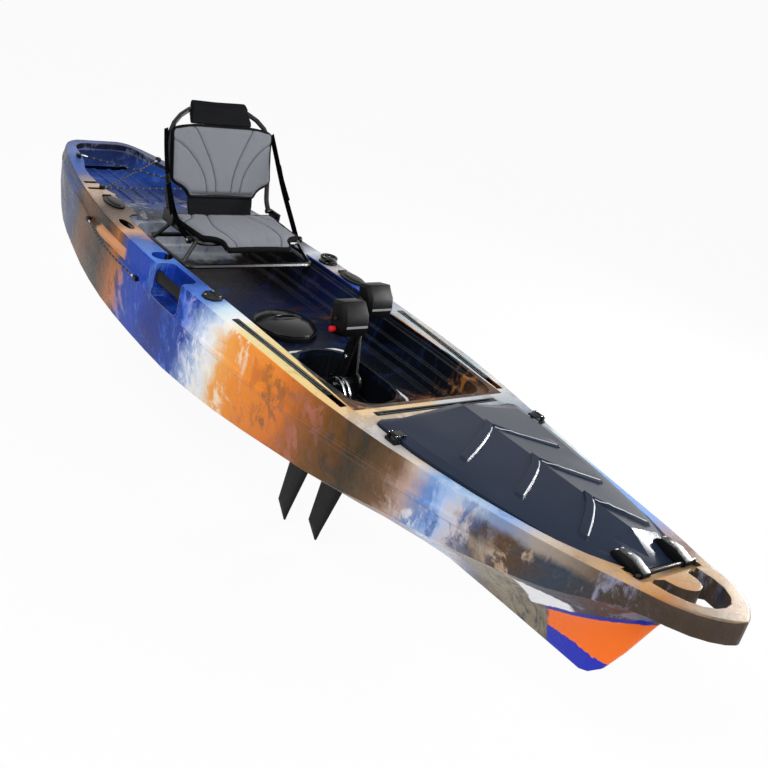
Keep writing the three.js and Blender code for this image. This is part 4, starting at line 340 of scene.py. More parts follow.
# Colours for the rim and decks: their own swirl, made paler by painted light from above.
RIM_COLOURS = (
    (-2.1, "3f4c86"), (-1.9, "6a80bd"), (-1.72, "4368b2"), (-1.58, "4d6fc4"), (-1.48, "b09a8e"),
    (-1.38, "e8cdb4"), (-1.16, "5e5049"), (-1.04, "77665a"), (-0.94, "a07658"), (-0.86, "e3ab78"),
    (-0.77, "4a6cb4"), (-0.6, "5a8ce8"), (-0.45, "3a62c0"), (-0.33, "27509f"), (-0.22, "5580dc"),
    (-0.14, "6c93d6"), (-0.06, "cfe8f4"), (0.03, "f2f4f4"), (0.12, "ecd9a0"), (0.46, "e6d08a"),
    (0.7, "e0bd86"), (0.84, "c6c0bc"), (0.96, "a9a5a6"), (1.06, "d2c4b4"), (1.16, "7ea2d2"),
    (1.3, "a9bfd8"), (1.42, "86a6d6"), (1.54, "c2b6aa"), (1.66, "a98f72"), (1.8, "c29a6c"),
    (1.92, "a8713c"), (2.0, "7c6850"),
)
PORT_RIM_COLOURS = (
    (-2.1, "3c4878"), (-1.7, "555f74"), (-1.3, "3a3f4c"), (-1.1, "8f97aa"), (-0.85, "a3b4c4"),
    (-0.75, "3e4250"), (-0.62, "d8dde2"), (-0.5, "8a8e94"), (-0.42, "c9bec0"), (-0.3, "3c3d42"),
    (-0.2, "2f5cc0"), (0.0, "b6bcc2"), (0.3, "bcc4c4"), (0.48, "a9bec8"), (0.62, "e0dfd8"),
    (0.86, "7d8ea6"), (1.0, "cbdde2"), (1.15, "d4e4ec"), (1.3, "86addf"), (1.55, "78a4e6"),
    (1.66, "a08c90"), (1.76, "6a4c3a"), (1.86, "b99a70"), (2.0, "96744c"),
)
# Colours for the cockpit and the tank well: their own swirl, darkened by painted shade.
INSIDE_COLOURS = (
    (-2.1, "141826"), (-1.8, "1f48a0"), (-1.62, "183880"), (-1.4, "2a4a90"), (-1.3, "3c4660"),
    (-1.2, "15171d"), (-1.08, "a4abba"), (-1.0, "c4c8ce"), (-0.93, "2a2422"), (-0.78, "1c1819"),
    (-0.58, "12141f"), (-0.42, "0c163c"), (-0.3, "182440"), (-0.15, "0c1322"), (0.1, "090e18"),
    (0.42, "0d1119"), (0.5, "1a1a20"), (0.58, "5e4028"), (0.66, "2a2c34"), (0.74, "b9a27c"),
)
INSIDE_STREAKS = (
    (-2.1, "3a4878"), (-1.8, "3e68b8"), (-1.6, "23262e"), (-1.3, "c9c4bc"), (-1.0, "5a78b8"),
    (-0.85, "4a3424"), (-0.6, "152a66"), (-0.4, "3a2414"), (-0.25, "5c3818"), (-0.1, "182a58"),
    (0.1, "111c34"), (0.35, "16233c"), (0.5, "94602e"), (0.62, "b0703a"), (0.74, "e0c488"),
)


def swirl_group():
    """Colours that run into each other along the hull, its rim and its inside, with painted light from above on the
    rim and decks, painted shade inside and a painted highlight on the paddle rest.
    """
    n, i, o = group_tree(
        "Swirled plastic",
        [("Vector", VECTOR, None), ("Normal", VECTOR, None), ("Swirl", FLOAT, 0.08)],
        [("Colour", COLOUR)],
    )
    where, swirl = i.outputs[0], i.outputs[2]
    x, y, z = n.split(where)
    ahead_facing, side_facing, up = n.split(i.outputs[1])
    broad = n.noise(n.place(where, (1.0, 1.3, 1.5)), 2.6, 5.0, 0.6, 0.8)
    fine = n.noise(n.place(where, (2.2, 1.0, 0.8), (3.1, 0.4, 1.7)), 11.0, 6.0, 0.68, 1.6)
    run = n.plus(n.times(n.less(broad, 0.5), n.times(swirl, 3.4)),
                 n.times(n.less(fine, 0.5), n.times(swirl, 1.5)))
    leaned = n.less(x, n.times(n.less(z, 0.3), 0.45))
    along = n.plus(leaned, run)
    side = n.ramp(along, SIDE_COLOURS)
    streak = n.ramp(n.less(leaned, run), STREAK_COLOURS)
    patches = n.noise(n.place(where, (1.6, 1.2, 1.0), (7.7, 2.0, 0.3)), 5.2, 7.0, 0.62, 1.1)
    wisps = n.noise(n.place(where, (1.2, 1.2, 0.5), (1.9, 5.0, 4.0)), 15.0, 8.0, 0.72, 2.2)
    blotch = n.plus(patches, n.times(n.less(wisps, 0.5), 0.5))
    mask = n.step(blotch, 0.5, 0.62)
    side = n.mix(n.times(mask, 0.8), side, streak)
    cloud = n.step(wisps, 0.4, 0.75)
    side = n.mix(n.times(cloud, 0.04), side, n.mix(0.5, side, (0.85, 0.85, 0.85, 1)))
    # The stem: orange over blue, a white patch and khaki behind.
    drift = n.times(run, 0.22)
    sx, sz = n.plus(x, drift), n.plus(z, drift)
    line = n.math("MULTIPLY_ADD", n.less(sx, 1.54), 0.5)
    line.node.inputs[2].default_value = 0.162
    khaki = n.times(n.step(sx, 1.2, 1.3), n.step(sx, 1.56, 1.5), n.step(sz, 0.27, 0.23), n.step(fine, 0.36, 0.56))
    side = n.mix(khaki, side, n.mix(fine, srgb("55503f"), srgb("a2957c")))
    outward = n.step(n.times(y, side_facing), -0.002, -0.0005)
    ahead = n.times(n.step(sx, 1.515, 1.525), outward)
    above = n.less(sz, line)
    stripe = n.times(ahead, n.times(n.step(above, 0.02, 0.014), n.step(sx, 1.86, 1.85)))
    side = n.mix(stripe, side, srgb("1c2d9c"))
    ahead = n.times(ahead, n.step(sx, 1.88, 1.87))
    bright = n.mix(n.step(sz, 0.078, 0.083), srgb("2a35b4"), srgb("fb7527"))
    side = n.mix(n.times(ahead, n.step(above, 0.0, -0.004)), side, bright)
    white = n.times(n.times(n.step(sx, 1.455, 1.465), n.step(sx, 1.64, 1.62)), outward)
    white = n.times(white, n.times(n.step(above, 0.012, 0.018), n.step(sz, 0.262, 0.254)))
    side = n.mix(white, side, srgb("f4f5fa"))
    # The moulded rest for the paddle's shaft is paler: a painted highlight on its raised face.
    rest = n.times(n.step(n.size(n.plus(x, 0.95)), 0.165, 0.13), n.step(y, -0.38, -0.4))
    rest = n.times(rest, n.step(n.size(n.less(z, 0.398)), 0.027, 0.022))
    side = n.mix(n.times(rest, 0.85), side, srgb("e3a070"))
    # The rim and decks get paler colours than the sides: their own swirl, with painted light from above on the faces
    # that look up.
    rim_at = n.plus(x, n.times(run, 0.5))
    rim = n.ramp(rim_at, RIM_COLOURS)
    rim = n.mix(n.step(y, -0.05, 0.05), rim, n.ramp(rim_at, PORT_RIM_COLOURS))
    rim = n.mix(n.times(mask, 0.28), rim, streak)
    top = n.times(n.step(up, 0.3, 0.75), n.step(z, 0.415, 0.43))
    shoulder = n.times(n.step(x, 0.98, 1.1), n.step(x, 1.8, 1.62))
    shoulder = n.times(shoulder, n.step(n.plus(z, n.times(run, 0.3)), 0.405, 0.44))
    top = n.greater(top, n.times(shoulder, 0.55))
    colour = n.mix(top, side, rim)
    # The cockpit and the tank well are darker: their own swirl, with painted shade in these recesses.
    inside = n.ramp(along, INSIDE_COLOURS)
    inside = n.mix(n.step(blotch, 0.5, 0.66), inside, n.ramp(leaned, INSIDE_STREAKS))
    across = n.size(y)
    room = n.times(n.step(across, 0.3535, 0.3525), n.step(z, 0.4695, 0.4685))
    room = n.times(room, n.times(n.step(x, 0.7165, 0.7155), n.step(z, 0.185, 0.195)))
    # Towards the stern the outer skin comes within those bounds, and keeps the side's colours.
    aft = n.times(n.step(across, 0.16, 0.2), n.step(x, -1.2, -1.25))
    skin = n.times(aft, n.step(n.times(y, side_facing), 0.02, 0.05))
    transom = n.times(n.step(ahead_facing, -0.3, -0.6), n.step(x, -1.9, -1.95))
    below = n.times(n.step(up, -0.2, -0.4), n.step(x, -1.2, -1.25))
    skin = n.greater(skin, n.greater(transom, below))
    room = n.times(room, n.less(1.0, skin))
    colour = n.mix(room, colour, inside)
    well = n.times(n.step(z, 0.3, 0.29), n.times(n.step(x, 0.0, 0.01), n.step(x, 0.49, 0.48)))
    well = n.times(well, n.times(n.step(across, 0.15, 0.145), n.step(z, 0.03, 0.06)))
    colour = n.mix(n.times(well, 0.85), colour, srgb("0a0b0e"))
    n.put(o.inputs[0], colour)


def use_group(n, name, **inputs):
    node = n.add("ShaderNodeGroup", node_tree=bpy.data.node_groups[name])
    for key, value in inputs.items():
        n.put(node.inputs[key], value)
    return node


def new_material(name):
    material = bpy.data.materials.new("look_" + name)
    material.use_nodes = True
    n = Nodes(material.node_tree)
    shader = material.node_tree.nodes["Principled BSDF"]
    where = n.add("ShaderNodeTexCoord")
    return n, shader, where


def bump(n, shader, height, distance, strength=1.0, normal=None):
    node = n.add("ShaderNodeBump", {"Height": height, "Strength": strength, "Distance": distance})
    if normal is not None:
        n.put(node.inputs["Normal"], normal)
    n.put(shader.inputs["Normal"], node.outputs[0])


def hull_material():
    n, shader, where = new_material("swirled_hull_plastic")
    hull = settings("hull")
    spot, facing = where.outputs["Object"], where.outputs["Normal"]
    swirl = use_group(n, "Swirled plastic", Vector=spot, Normal=facing, Swirl=hull.swirl)
    grain = use_group(n, "Moulded grain", Vector=spot, Scale=700.0, Roughness=hull.gloss)
    scuffs = use_group(n, "Scuffs", Vector=spot, Amount=0.35)
    rounded, edge = n.edge(hull.edge_round, 6, 0.985, 0.88)
    # Paler edges, stronger on the outer rims and belts: partly wear, partly a painted highlight along them.
    outer = n.step(n.size(n.split(spot)[1]), 0.36, 0.4)
    edge_wear_and_highlight = n.plus(0.06, n.times(outer, 0.2))
    colour = n.mix(n.times(edge, edge_wear_and_highlight), swirl.outputs[0], (0.9, 0.88, 0.85, 1))
    colour = n.mix(n.times(scuffs.outputs[0], 0.05), colour, (0.75, 0.75, 0.75, 1))
    n.put(shader.inputs["Base Color"], colour)
    n.put(shader.inputs["Roughness"], grain.outputs[1])
    shader.inputs["Specular IOR Level"].default_value = 0.07
    bump(n, shader, grain.outputs[0], hull.grain, 0.5, rounded)


def moulded_material(name, colour, roughness, grain_scale=1300.0, depth=0.0002, scuff=0.16, shine=0.14):
    """Moulded plastic or rubber with a fine grain, scuffs and paler edges, which are partly wear and partly a painted
    highlight.
    """
    n, shader, where = new_material(name)
    shader.inputs["Specular IOR Level"].default_value = shine
    spot = where.outputs["Object"]
    grain = use_group(n, "Moulded grain", Vector=spot, Scale=grain_scale, Roughness=roughness)
    scuffs = use_group(n, "Scuffs", Vector=spot, Amount=scuff)
    pale = scaled(colour, 2.0, 0.03)
    tone = n.mix(scuffs.outputs[0], scaled(colour), pale)
    dust = n.noise(spot, 3.5, 5.0, 0.6)
    tone = n.mix(n.times(n.step(dust, 0.42, 0.8), 0.1), tone, pale)
    # Paler edges: partly wear, partly a painted highlight.
    rounded, edge = n.edge(SMALL_ROUND, 4, 0.98, 0.85)
    tone = n.mix(n.times(edge, 0.3), tone, pale)
    n.put(shader.inputs["Base Color"], tone)
    n.put(shader.inputs["Roughness"], grain.outputs[1])
    bump(n, shader, grain.outputs[0], depth, 0.6, rounded)


def metal_material(name, colour, roughness, brushed=(1.0, 1.0, 60.0)):
    n, shader, where = new_material(name)
    spot = where.outputs["Object"]
    lines = n.noise(n.place(spot, brushed), 30.0, 4.0)
    smear = n.noise(spot, 12.0, 4.0)
    tone = n.mix(n.step(smear, 0.35, 0.75), colour, scaled(colour, 0.7))
    n.put(shader.inputs["Base Color"], tone)
    shader.inputs["Metallic"].default_value = 1.0
    n.put(shader.inputs["Roughness"], n.plus(roughness, n.times(n.less(lines, 0.5), 0.25)))
    bump(n, shader, lines, 0.0001, 0.5)


def coated_material():
    """Satin black coating over tube and plate, with chips at its edges."""
    n, shader, where = new_material("satin_black_coating")
    spot = where.outputs["Object"]
    grain = use_group(n, "Moulded grain", Vector=spot, Scale=1800.0, Roughness=0.32)
    scuffs = use_group(n, "Scuffs", Vector=spot, Amount=0.5)
    tone = n.mix(n.times(scuffs.outputs[0], 0.5), srgb("0b0c0e"), srgb("55575b"))
    shader.inputs["Specular IOR Level"].default_value = 0.3
    n.put(shader.inputs["Base Color"], tone)
    n.put(shader.inputs["Metallic"], n.times(scuffs.outputs[0], 0.5))
    n.put(shader.inputs["Roughness"], grain.outputs[1])
    bump(n, shader, grain.outputs[0], 0.0001, 0.4)


def cloth_material(name, colour, threads, fleck, roughness=0.85, sheen=0.0, shine=0.06):
    """Woven cloth. Its threads run across the boat and up or along it."""
    n, shader, where = new_material(name)
    x, y, z = n.split(where.outputs["Object"])
    spot = n.add("ShaderNodeCombineXYZ", {0: y, 1: n.less(z, x)}).outputs[0]
    weave = use_group(n, "Woven cloth", Vector=spot, Threads=threads, Colour=scaled(colour), Fleck=fleck)
    wide = n.noise(where.outputs["Object"], 9.0, 4.0)
    shade = n.mix(n.times(n.step(wide, 0.3, 0.8), 0.22), weave.outputs[0], scaled(colour, 0.6))
    n.put(shader.inputs["Base Color"], shade)
    n.put(shader.inputs["Roughness"], n.less(roughness, n.times(weave.outputs[1], 0.12)))
    shader.inputs["Sheen Weight"].default_value = sheen
    shader.inputs["Specular IOR Level"].default_value = shine
    bump(n, shader, weave.outputs[1], 0.0006, 0.7)


def braid_material():
    """Elastic cord: slanted strands round it from its UV map, with painted shade between the strands and pale flecks.
    """
    n, shader, where = new_material("braided_cord")
    turns = settings("fitting").braid_turns
    round_share, metres, _ = n.split(where.outputs["UV"])
    along = n.times(metres, turns * math.pi)
    round_it = n.times(round_share, 8 * math.pi)
    a = n.sine(n.plus(along, round_it))
    b = n.sine(n.less(along, round_it))
    height = n.size(n.times(a, b))
    fleck = n.step(n.sine(n.times(metres, 190.0)), 0.55, 0.8)
    fleck = n.times(fleck, n.step(a, 0.1, 0.5))
    # Painted shade: darker between the strands, paler on their crowns.
    tone = n.mix(height, srgb("0b0b0d"), srgb("24252a"))
    tone = n.mix(n.times(fleck, 0.75), tone, srgb("b9bcc4"))
    n.put(shader.inputs["Base Color"], tone)
    n.put(shader.inputs["Roughness"], n.less(0.85, n.times(height, 0.2)))
    bump(n, shader, height, 0.0006, 0.8)


def make_materials():
    for build in (grain_group, wear_group, weave_group, swirl_group):
        build()
    fitting, seat = settings("fitting"), settings("seat")
    hull_material()
    moulded_material("black_fitting_plastic", fitting.black, 0.34)
    moulded_material("hatch_lid_plastic", srgb("20293a"), 0.2, 1000.0, 0.00001, 0.0, 0.12)
    moulded_material("hatch_lid_gloss", srgb("08090b"), 0.2, 1200.0, 0.00005, 0.04, 0.3)
    # A grey strip that stands for a painted highlight on the pedals.
    moulded_material("pale_ledge", srgb("9a9ca0"), 0.3, 900.0, 0.0001, 0.3)
    # A near-white trim that stands for painted highlights on edges.
    moulded_material("polished_edge", srgb("dfe2e8"), 0.18, 900.0, 0.00005, 0.1)
    moulded_material("pedal_plastic", srgb("070708"), 0.42, 900.0, 0.00025, 0.08, 0.08)
    moulded_material("blade_plastic", srgb("0c0c0e"), 0.5, 700.0, 0.0003)
    moulded_material("soft_rubber", srgb("101012"), 0.62, 1500.0, 0.0002, 0.1)
    moulded_material("red_knob_plastic", fitting.red, 0.22, 1500.0, 0.00006, 0.15)
    coated_material()
    metal_material("bright_steel", srgb("c9ccd1"), 0.26)
    metal_material("dark_track_metal", srgb("1b1d20"), 0.34, (60.0, 1.0, 1.0))
    cloth_material("seat_mesh_cloth", seat.cloth, 1500.0, 0.35, 0.8, 0.1, 0.2)
    cloth_material("black_webbing", srgb("0b0c0e"), 1400.0, 0.6, 0.9, 0.0, 0.0)
    cloth_material("black_mesh_panel", srgb("0e0f12"), 900.0, 0.5, 0.8)
    cloth_material("binding_tape", srgb("08080a"), 1600.0, 0.5, 0.8)
    cloth_material("stitch_thread", seat.thread, 2500.0, 0.4, 0.7)
    braid_material()


def material(name):
    return bpy.data.materials["look_" + name]


# Mesh tools


def show(mesh, name, look):
    mesh.materials.clear()
    mesh.materials.append(material(look))
    piece = bpy.data.objects.new(name, mesh)
    bpy.context.scene.collection.objects.link(piece)
    return piece


def fitted(piece, body, nodes=()):
    """The piece rides on a body, and may name the solids it stands for, which are hidden."""
    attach(piece, body)
    if nodes:
        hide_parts(*nodes)
    return piece


def body_of(node):
    for name, nodes in frame["record"]["behaviour"]["bodies"].items():
        if node in nodes:
            return name
    raise ValueError("no body holds " + node)


def settle(piece, *modifiers):
    """Applies modifiers given as (type, fields), and leaves a plain mesh."""
    for kind, fields in modifiers:
        item = piece.modifiers.new(kind, kind)
        for key, value in fields.items():
            setattr(item, key, value)
    graph = bpy.context.evaluated_depsgraph_get()
    made = piece.evaluated_get(graph)
    mesh = bpy.data.meshes.new_from_object(made, preserve_all_data_layers=True, depsgraph=graph)
    old = piece.data
    piece.modifiers.clear()
    piece.data = mesh
    bpy.data.meshes.remove(old)
    return piece


def smooth_by_angle(mesh, degrees):
    mesh.polygons.foreach_set("use_smooth", [True] * len(mesh.polygons))
    mesh.set_sharp_from_angle(angle=math.radians(degrees))


def welded_copy(node, flat=0.6):
    """A copy of a solid's mesh, merged, with faces that are flat within some degrees made whole."""
    source = frame["nodes"][node]
    work = bmesh.new()
    work.from_mesh(source.data)
    work.transform(source.matrix_world)
    bmesh.ops.remove_doubles(work, verts=work.verts, dist=0.00002)
    if flat:
        bmesh.ops.dissolve_limit(work, angle_limit=math.radians(flat), verts=work.verts, edges=work.edges)
    mesh = bpy.data.meshes.new(node)
    work.to_mesh(mesh)
    work.free()
    if "custom_normal" in mesh.attributes:
        mesh.attributes.remove(mesh.attributes["custom_normal"])
    return mesh


def dressed(node, look, bevel=None, angle=35.0, segments=2):
    """The solid's own shape with rounded edges and smooth shading, in its place."""
    piece = show(welded_copy(node), "dressed_" + node, look)
    steps = []
    width = settings("fitting").bevel if bevel is None else bevel
    if width:
        fields = {"width": width, "segments": segments, "limit_method": "ANGLE", "angle_limit": BEVEL_ANGLE}
        steps.append(("BEVEL", fields))
    settle(piece, *steps)
    smooth_by_angle(piece.data, angle)
    return fitted(piece, body_of(node), [node])


def mesh_from(rings, looped=False):
    """A mesh skinned over rings of points: its ends are filled, or joined if it is looped."""
    work = bmesh.new()
    rows = [[work.verts.new(point) for point in ring] for ring in rings]
    count = len(rows[0])
    pairs = list(zip(rows, rows[1:])) + ([(rows[-1], rows[0])] if looped else [])
    for near, far in pairs:
        for k in range(count):
            other = (k + 1) % count
            work.faces.new((near[k], near[other], far[other], far[k]))
    if not looped:
        work.faces.new(list(reversed(rows[0])))
        work.faces.new(rows[-1])
    bmesh.ops.recalc_face_normals(work, faces=work.faces)
    mesh = bpy.data.meshes.new("skinned")
    work.to_mesh(mesh)
    work.free()
    return mesh


def beside(ahead):
    """A direction square to another, level where that is possible."""
    hint = Vector((0, 0, 1)) if abs(ahead.z) < 0.9 else Vector((1, 0, 0))
    return ahead.cross(hint).normalized()


def ring_round(centre, across, up, count):
    """Points on an oval given by its two half widths."""
    turns = [2 * math.pi * k / count for k in range(count)]
    return [centre + across * math.cos(turn) + up * math.sin(turn) for turn in turns]


def frames_along(points, looped=False):
    """A side and an up vector at each point, turning as little as they can."""
    count = len(points)
    found, side = [], None
    for k in range(count):
        if looped:
            ahead = points[(k + 1) % count] - points[k - 1]
        else:
            ahead = points[min(k + 1, count - 1)] - points[max(k - 1, 0)]
        ahead = ahead.normalized()
        if side is None:
            side = beside(ahead)
        side = (side - ahead * side.dot(ahead)).normalized()
        found.append((side, side.cross(ahead)))
    return found


def run_lengths(points):
    """How far along the line each point lies."""
    lengths = [0.0]
    for a, b in zip(points, points[1:]):
        lengths.append(lengths[-1] + (b - a).length)
    return lengths


def swept(points, radius, sides=12, looped=False, squash=1.0):
    """A round or flattened band along points, with a UV map: round it, then metres along it."""
    rings = []
    for point, (side, up) in zip(points, frames_along(points, looped)):
        rings.append(ring_round(point, side * radius, up * radius * squash, sides))
    mesh = mesh_from(rings, looped)
    lengths = run_lengths(points)
    layer = mesh.uv_layers.new(name="UVMap")
    for face in mesh.polygons:
        turns = [mesh.loops[k].vertex_index % sides for k in face.loop_indices]
        wrap = len(turns) == 4 and max(turns) == sides - 1 and min(turns) == 0
        for k in face.loop_indices:
            index = mesh.loops[k].vertex_index
            turn = index % sides
            share = (sides if wrap and turn == 0 else turn) / sides
            layer.data[k].uv = (share, lengths[min(index // sides, len(lengths) - 1)])
    smooth_by_angle(mesh, 50)
    return mesh


def smooth_line(points, step=0.012):
    """Points close together on a smooth curve through the given ones."""
    points = [Vector(p) for p in points]
    line = []
    for k in range(len(points) - 1):
        p0, p1, p2 = points[max(k - 1, 0)], points[k], points[k + 1]
        p3 = points[min(k + 2, len(points) - 1)]
        count = max(2, int((p2 - p1).length / step))
        for j in range(count):
            t = j / count
            line.append(0.5 * (2 * p1 + (p2 - p0) * t + (2 * p0 - 5 * p1 + 4 * p2 - p3) * t * t
                               + (3 * p1 - p0 - 3 * p2 + p3) * t ** 3))
    line.append(points[-1])
    return line


def push(mesh, amount):
    """Moves every point along its normal by amount(point, normal)."""
    normals = [point.normal.copy() for point in mesh.vertices]
    moved = []
    for point, normal in zip(mesh.vertices, normals):
        place = point.co + normal * amount(point.co, normal)
        moved += [place.x, place.y, place.z]
    mesh.vertices.foreach_set("co", moved)
    mesh.update()


# Geometry node tools


def repeat_tree(name, look, spins=False):
    """A node tree that puts one shape at every point of a mesh, turned to the point's normal."""
    tree = bpy.data.node_groups.new(name, "GeometryNodeTree")
    tree.interface.new_socket("Points", in_out="INPUT", socket_type="NodeSocketGeometry")
    tree.interface.new_socket("Shape", in_out="INPUT", socket_type="NodeSocketObject")
    tree.interface.new_socket("Geometry", in_out="OUTPUT", socket_type="NodeSocketGeometry")
    n = Nodes(tree)
    i, o = n.add("NodeGroupInput"), n.add("NodeGroupOutput")
    info = n.add("GeometryNodeObjectInfo", {"Object": i.outputs[1]})
    facing = n.add("GeometryNodeInputNamedAttribute", {"Name": "facing"}, data_type="FLOAT_VECTOR")
    turn = n.add("FunctionNodeAlignRotationToVector", {"Vector": facing.outputs[0]}, axis="Z")
    spin = turn.outputs[0]
    if spins:
        along = n.add("GeometryNodeInputNamedAttribute", {"Name": "along"}, data_type="FLOAT_VECTOR")
        inputs = {"Rotation": spin, "Vector": along.outputs[0]}
        spin = n.add("FunctionNodeAlignRotationToVector", inputs, axis="X", pivot_axis="Z").outputs[0]
    copies = n.add("GeometryNodeInstanceOnPoints", {
        "Points": i.outputs[0], "Instance": info.outputs["Geometry"], "Rotation": spin})
    real = n.add("GeometryNodeRealizeInstances", {0: copies.outputs[0]})
    done = n.add("GeometryNodeSetMaterial", {"Geometry": real.outputs[0], "Material": material(look)})
    n.put(o.inputs[0], done.outputs[0])
    return tree


def repeated(name, shape, places, look, body):
    """Copies of a shape at (point, facing) or (point, facing, along) places, as one plain mesh."""
    mesh = bpy.data.meshes.new(name)
    mesh.from_pydata([tuple(place[0]) for place in places], [], [])
    facing = mesh.attributes.new("facing", "FLOAT_VECTOR", "POINT")
    facing.data.foreach_set("vector", [c for place in places for c in place[1]])
    spins = len(places[0]) > 2
    if spins:
        along = mesh.attributes.new("along", "FLOAT_VECTOR", "POINT")
        along.data.foreach_set("vector", [c for place in places for c in place[2]])
    piece = bpy.data.objects.new(name, mesh)
    bpy.context.scene.collection.objects.link(piece)
    tree = repeat_tree("repeat " + name, look, spins)
    modifier = piece.modifiers.new("Repeat", "NODES")
    modifier.node_group = tree
    for item in tree.interface.items_tree:
        if item.in_out == "INPUT" and item.name == "Shape":
            modifier[item.identifier] = shape
    settle(piece)
    for attribute in ("facing", "along"):
        if attribute in piece.data.attributes:
            piece.data.attributes.remove(piece.data.attributes[attribute])
    smooth_by_angle(piece.data, 35)
    bpy.data.objects.remove(shape)
    return fitted(piece, body)


def pattern_piece(rings, look="bright_steel"):
    """A loose shape to be repeated. It is removed once it has been used."""
    mesh = mesh_from(rings)
    mesh.materials.append(material(look))
    piece = bpy.data.objects.new("pattern", mesh)
    bpy.context.scene.collection.objects.link(piece)
    return piece


def circles(sizes, sides):
    """Rings about the upright axis from (radius, height) pairs."""
    across, up = Vector((1, 0, 0)), Vector((0, 1, 0))
    return [ring_round(Vector((0, 0, height)), across * radius, up * radius, sides) for radius, height in sizes]


def screw_head(radius):
    """A domed head with a socket sunk in it."""
    shares = ((1.0, 0.0), (1.0, 0.3), (0.75, 0.52), (0.42, 0.56), (0.378, 0.2))
    return pattern_piece(circles([(radius * wide, radius * high) for wide, high in shares], 12))


def screws(name, radius, places, body="boat"):
    return repeated(name, screw_head(radius), places, "bright_steel", body)


# Places on the solids

TREES = {}


def tree_of(mesh):
    return BVHTree.FromPolygons([v.co for v in mesh.vertices], [p.vertices for p in mesh.polygons])


def first_hit(node, start, direction=DOWN):
    """Where a line first meets a solid and the way that face looks, or None twice."""
    if node not in TREES:
        TREES[node] = tree_of(frame["nodes"][node].data)
    return TREES[node].ray_cast(Vector(start), Vector(direction))[:2]


def surface(node, start, direction=DOWN):
    place, normal = first_hit(node, start, direction)
    if place is None:
        raise ValueError("a line from " + str(start) + " misses " + node)
    return place, normal


def middle(node):
    low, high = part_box(node)
    return (low + high) / 2


def drops(node, spots):
    """(point, normal) places on top of a solid under each (x, y)."""
    return [surface(node, (x, y, ABOVE)) for x, y in spots]


def ring_spots(centre, radius, count, start):
    turns = [start + 2 * math.pi * k / count for k in range(count)]
    return [(centre.x + radius * math.cos(t), centre.y + radius * math.sin(t)) for t in turns]


def ring_centres(node, gap=0.012):
    """The middles of a cord's rings, in order along the boat."""
    points = sorted((v.co for v in frame["nodes"][node].data.vertices), key=lambda p: p.x)
    groups, last = [[]], None
    for point in points:
        if last is not None and point.x - last > gap:
            groups.append([])
        groups[-1].append(point)
        last = point.x
    centres = []
    for group in groups:
        low = Vector([min(p[i] for p in group) for i in range(3)])
        high = Vector([max(p[i] for p in group) for i in range(3)])
        centres.append((low + high) / 2)
    return centres


def chevron_reach(apex):
    """How far a chevron's legs run out, from the lid's width at their ends."""
    wide = 0.05
    while wide < 0.33 and first_hit("bow_hatch_lid", (apex + CHEVRON_RUN, -wide, ABOVE))[0] is not None:
        wide += 0.004
    return wide * 0.74


# Hull and hatches


class KAYAK_OT_hull(bpy.types.Operator):
    """Dresses the moulded hull in its swirled plastic"""

    bl_idname = "kayak.hull"
    bl_label = "Hull"

    def execute(self, context):
        piece = show(welded_copy("hull", 0.0), "dressed_hull", "swirled_hull_plastic")
        smooth_by_angle(piece.data, 26)
        settle(piece, ("WEIGHTED_NORMAL", {"keep_sharp": True, "weight": 80}))
        fitted(piece, "boat", ["hull"])
        return {"FINISHED"}


class KAYAK_OT_hatches(bpy.types.Operator):
    """Dresses the bow hatch with its hinges, latches and seal, and the round floor hatch"""

    bl_idname = "kayak.hatches"
    bl_label = "Hatches"

    def execute(self, context):
        dressed("bow_hatch_lid", "hatch_lid_plastic", 0.0016, 9, 3)
        self.make_chevron_edges()
        for node in ("hatch_hinge_rod", "floor_hatch_ring", "hatch_latch_base_starboard", "hatch_latch_base_port"):
            dressed(node, "black_fitting_plastic")
        dressed("floor_hatch_lid", "hatch_lid_gloss", 0.002, 30, 3)
        dressed("bow_hatch_gasket", "soft_rubber", 0)
        for side, _ in SIDES:
            dressed("hatch_hinge_bracket_" + side, "black_fitting_plastic")
            dressed("hatch_latch_lever_" + side, "black_fitting_plastic", 0.0016)
            bracket = middle("hatch_hinge_bracket_" + side)
            low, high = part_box("hatch_hinge_bracket_" + side)
            spots = [(low.x + dx, bracket.y + dy) for dx, dy in ((0.014, -0.013), (0.014, 0.013), (0.05, 0.0))]
            screws("hinge_screws_" + side, 0.0055, drops("hatch_hinge_bracket_" + side, spots), "bow_lid")
            base = middle("hatch_latch_base_" + side)
            low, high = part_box("hatch_latch_base_" + side)
            spots = [(x, base.y + dy) for x in (low.x + 0.007, high.x - 0.007) for dy in (-0.007, 0.007)]
            screws("latch_screws_" + side, 0.0024, drops("hatch_latch_base_" + side, spots))
        return {"FINISHED"}

    def make_chevron_edges(self):
        """A pale line along the forward edge of each raised chevron: a painted highlight."""
        lines = []
        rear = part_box("bow_hatch_lid")[0].x
        for share in CHEVRON_SHARES:
            apex = rear + LID_LENGTH * share
            reach = chevron_reach(apex)
            for sign in (-1, 1):
                line = []
                for k in range(15):
                    place = 0.03 + 0.9 * k / 14
                    x = apex + CHEVRON_RUN * place ** 0.75 + CHEVRON_FACE
                    point, normal = surface("bow_hatch_lid", (x, sign * place * reach, ABOVE))
                    line.append(point + normal * PROUD)
                lines.append(band(line, 0.0046, 0.0016, (1, 0, 0)))
        fitted(show(joined_mesh(lines), "chevron_edges", "polished_edge"), "bow_lid")


# Seat


def along_curve(points, count):
    """Evenly spaced points on a smooth curve through (u, v) points."""
    line = smooth_line([(u, v, 0.0) for u, v in points], 0.02)
    lengths = run_lengths(line)
    found, k = [], 0
    for i in range(count):
        goal = lengths[-1] * i / (count - 1)
        while k < len(line) - 2 and lengths[k + 1] < goal:
            k += 1
        span = max(lengths[k + 1] - lengths[k], 1e-9)
        found.append(line[k].lerp(line[k + 1], (goal - lengths[k]) / span))
    return found


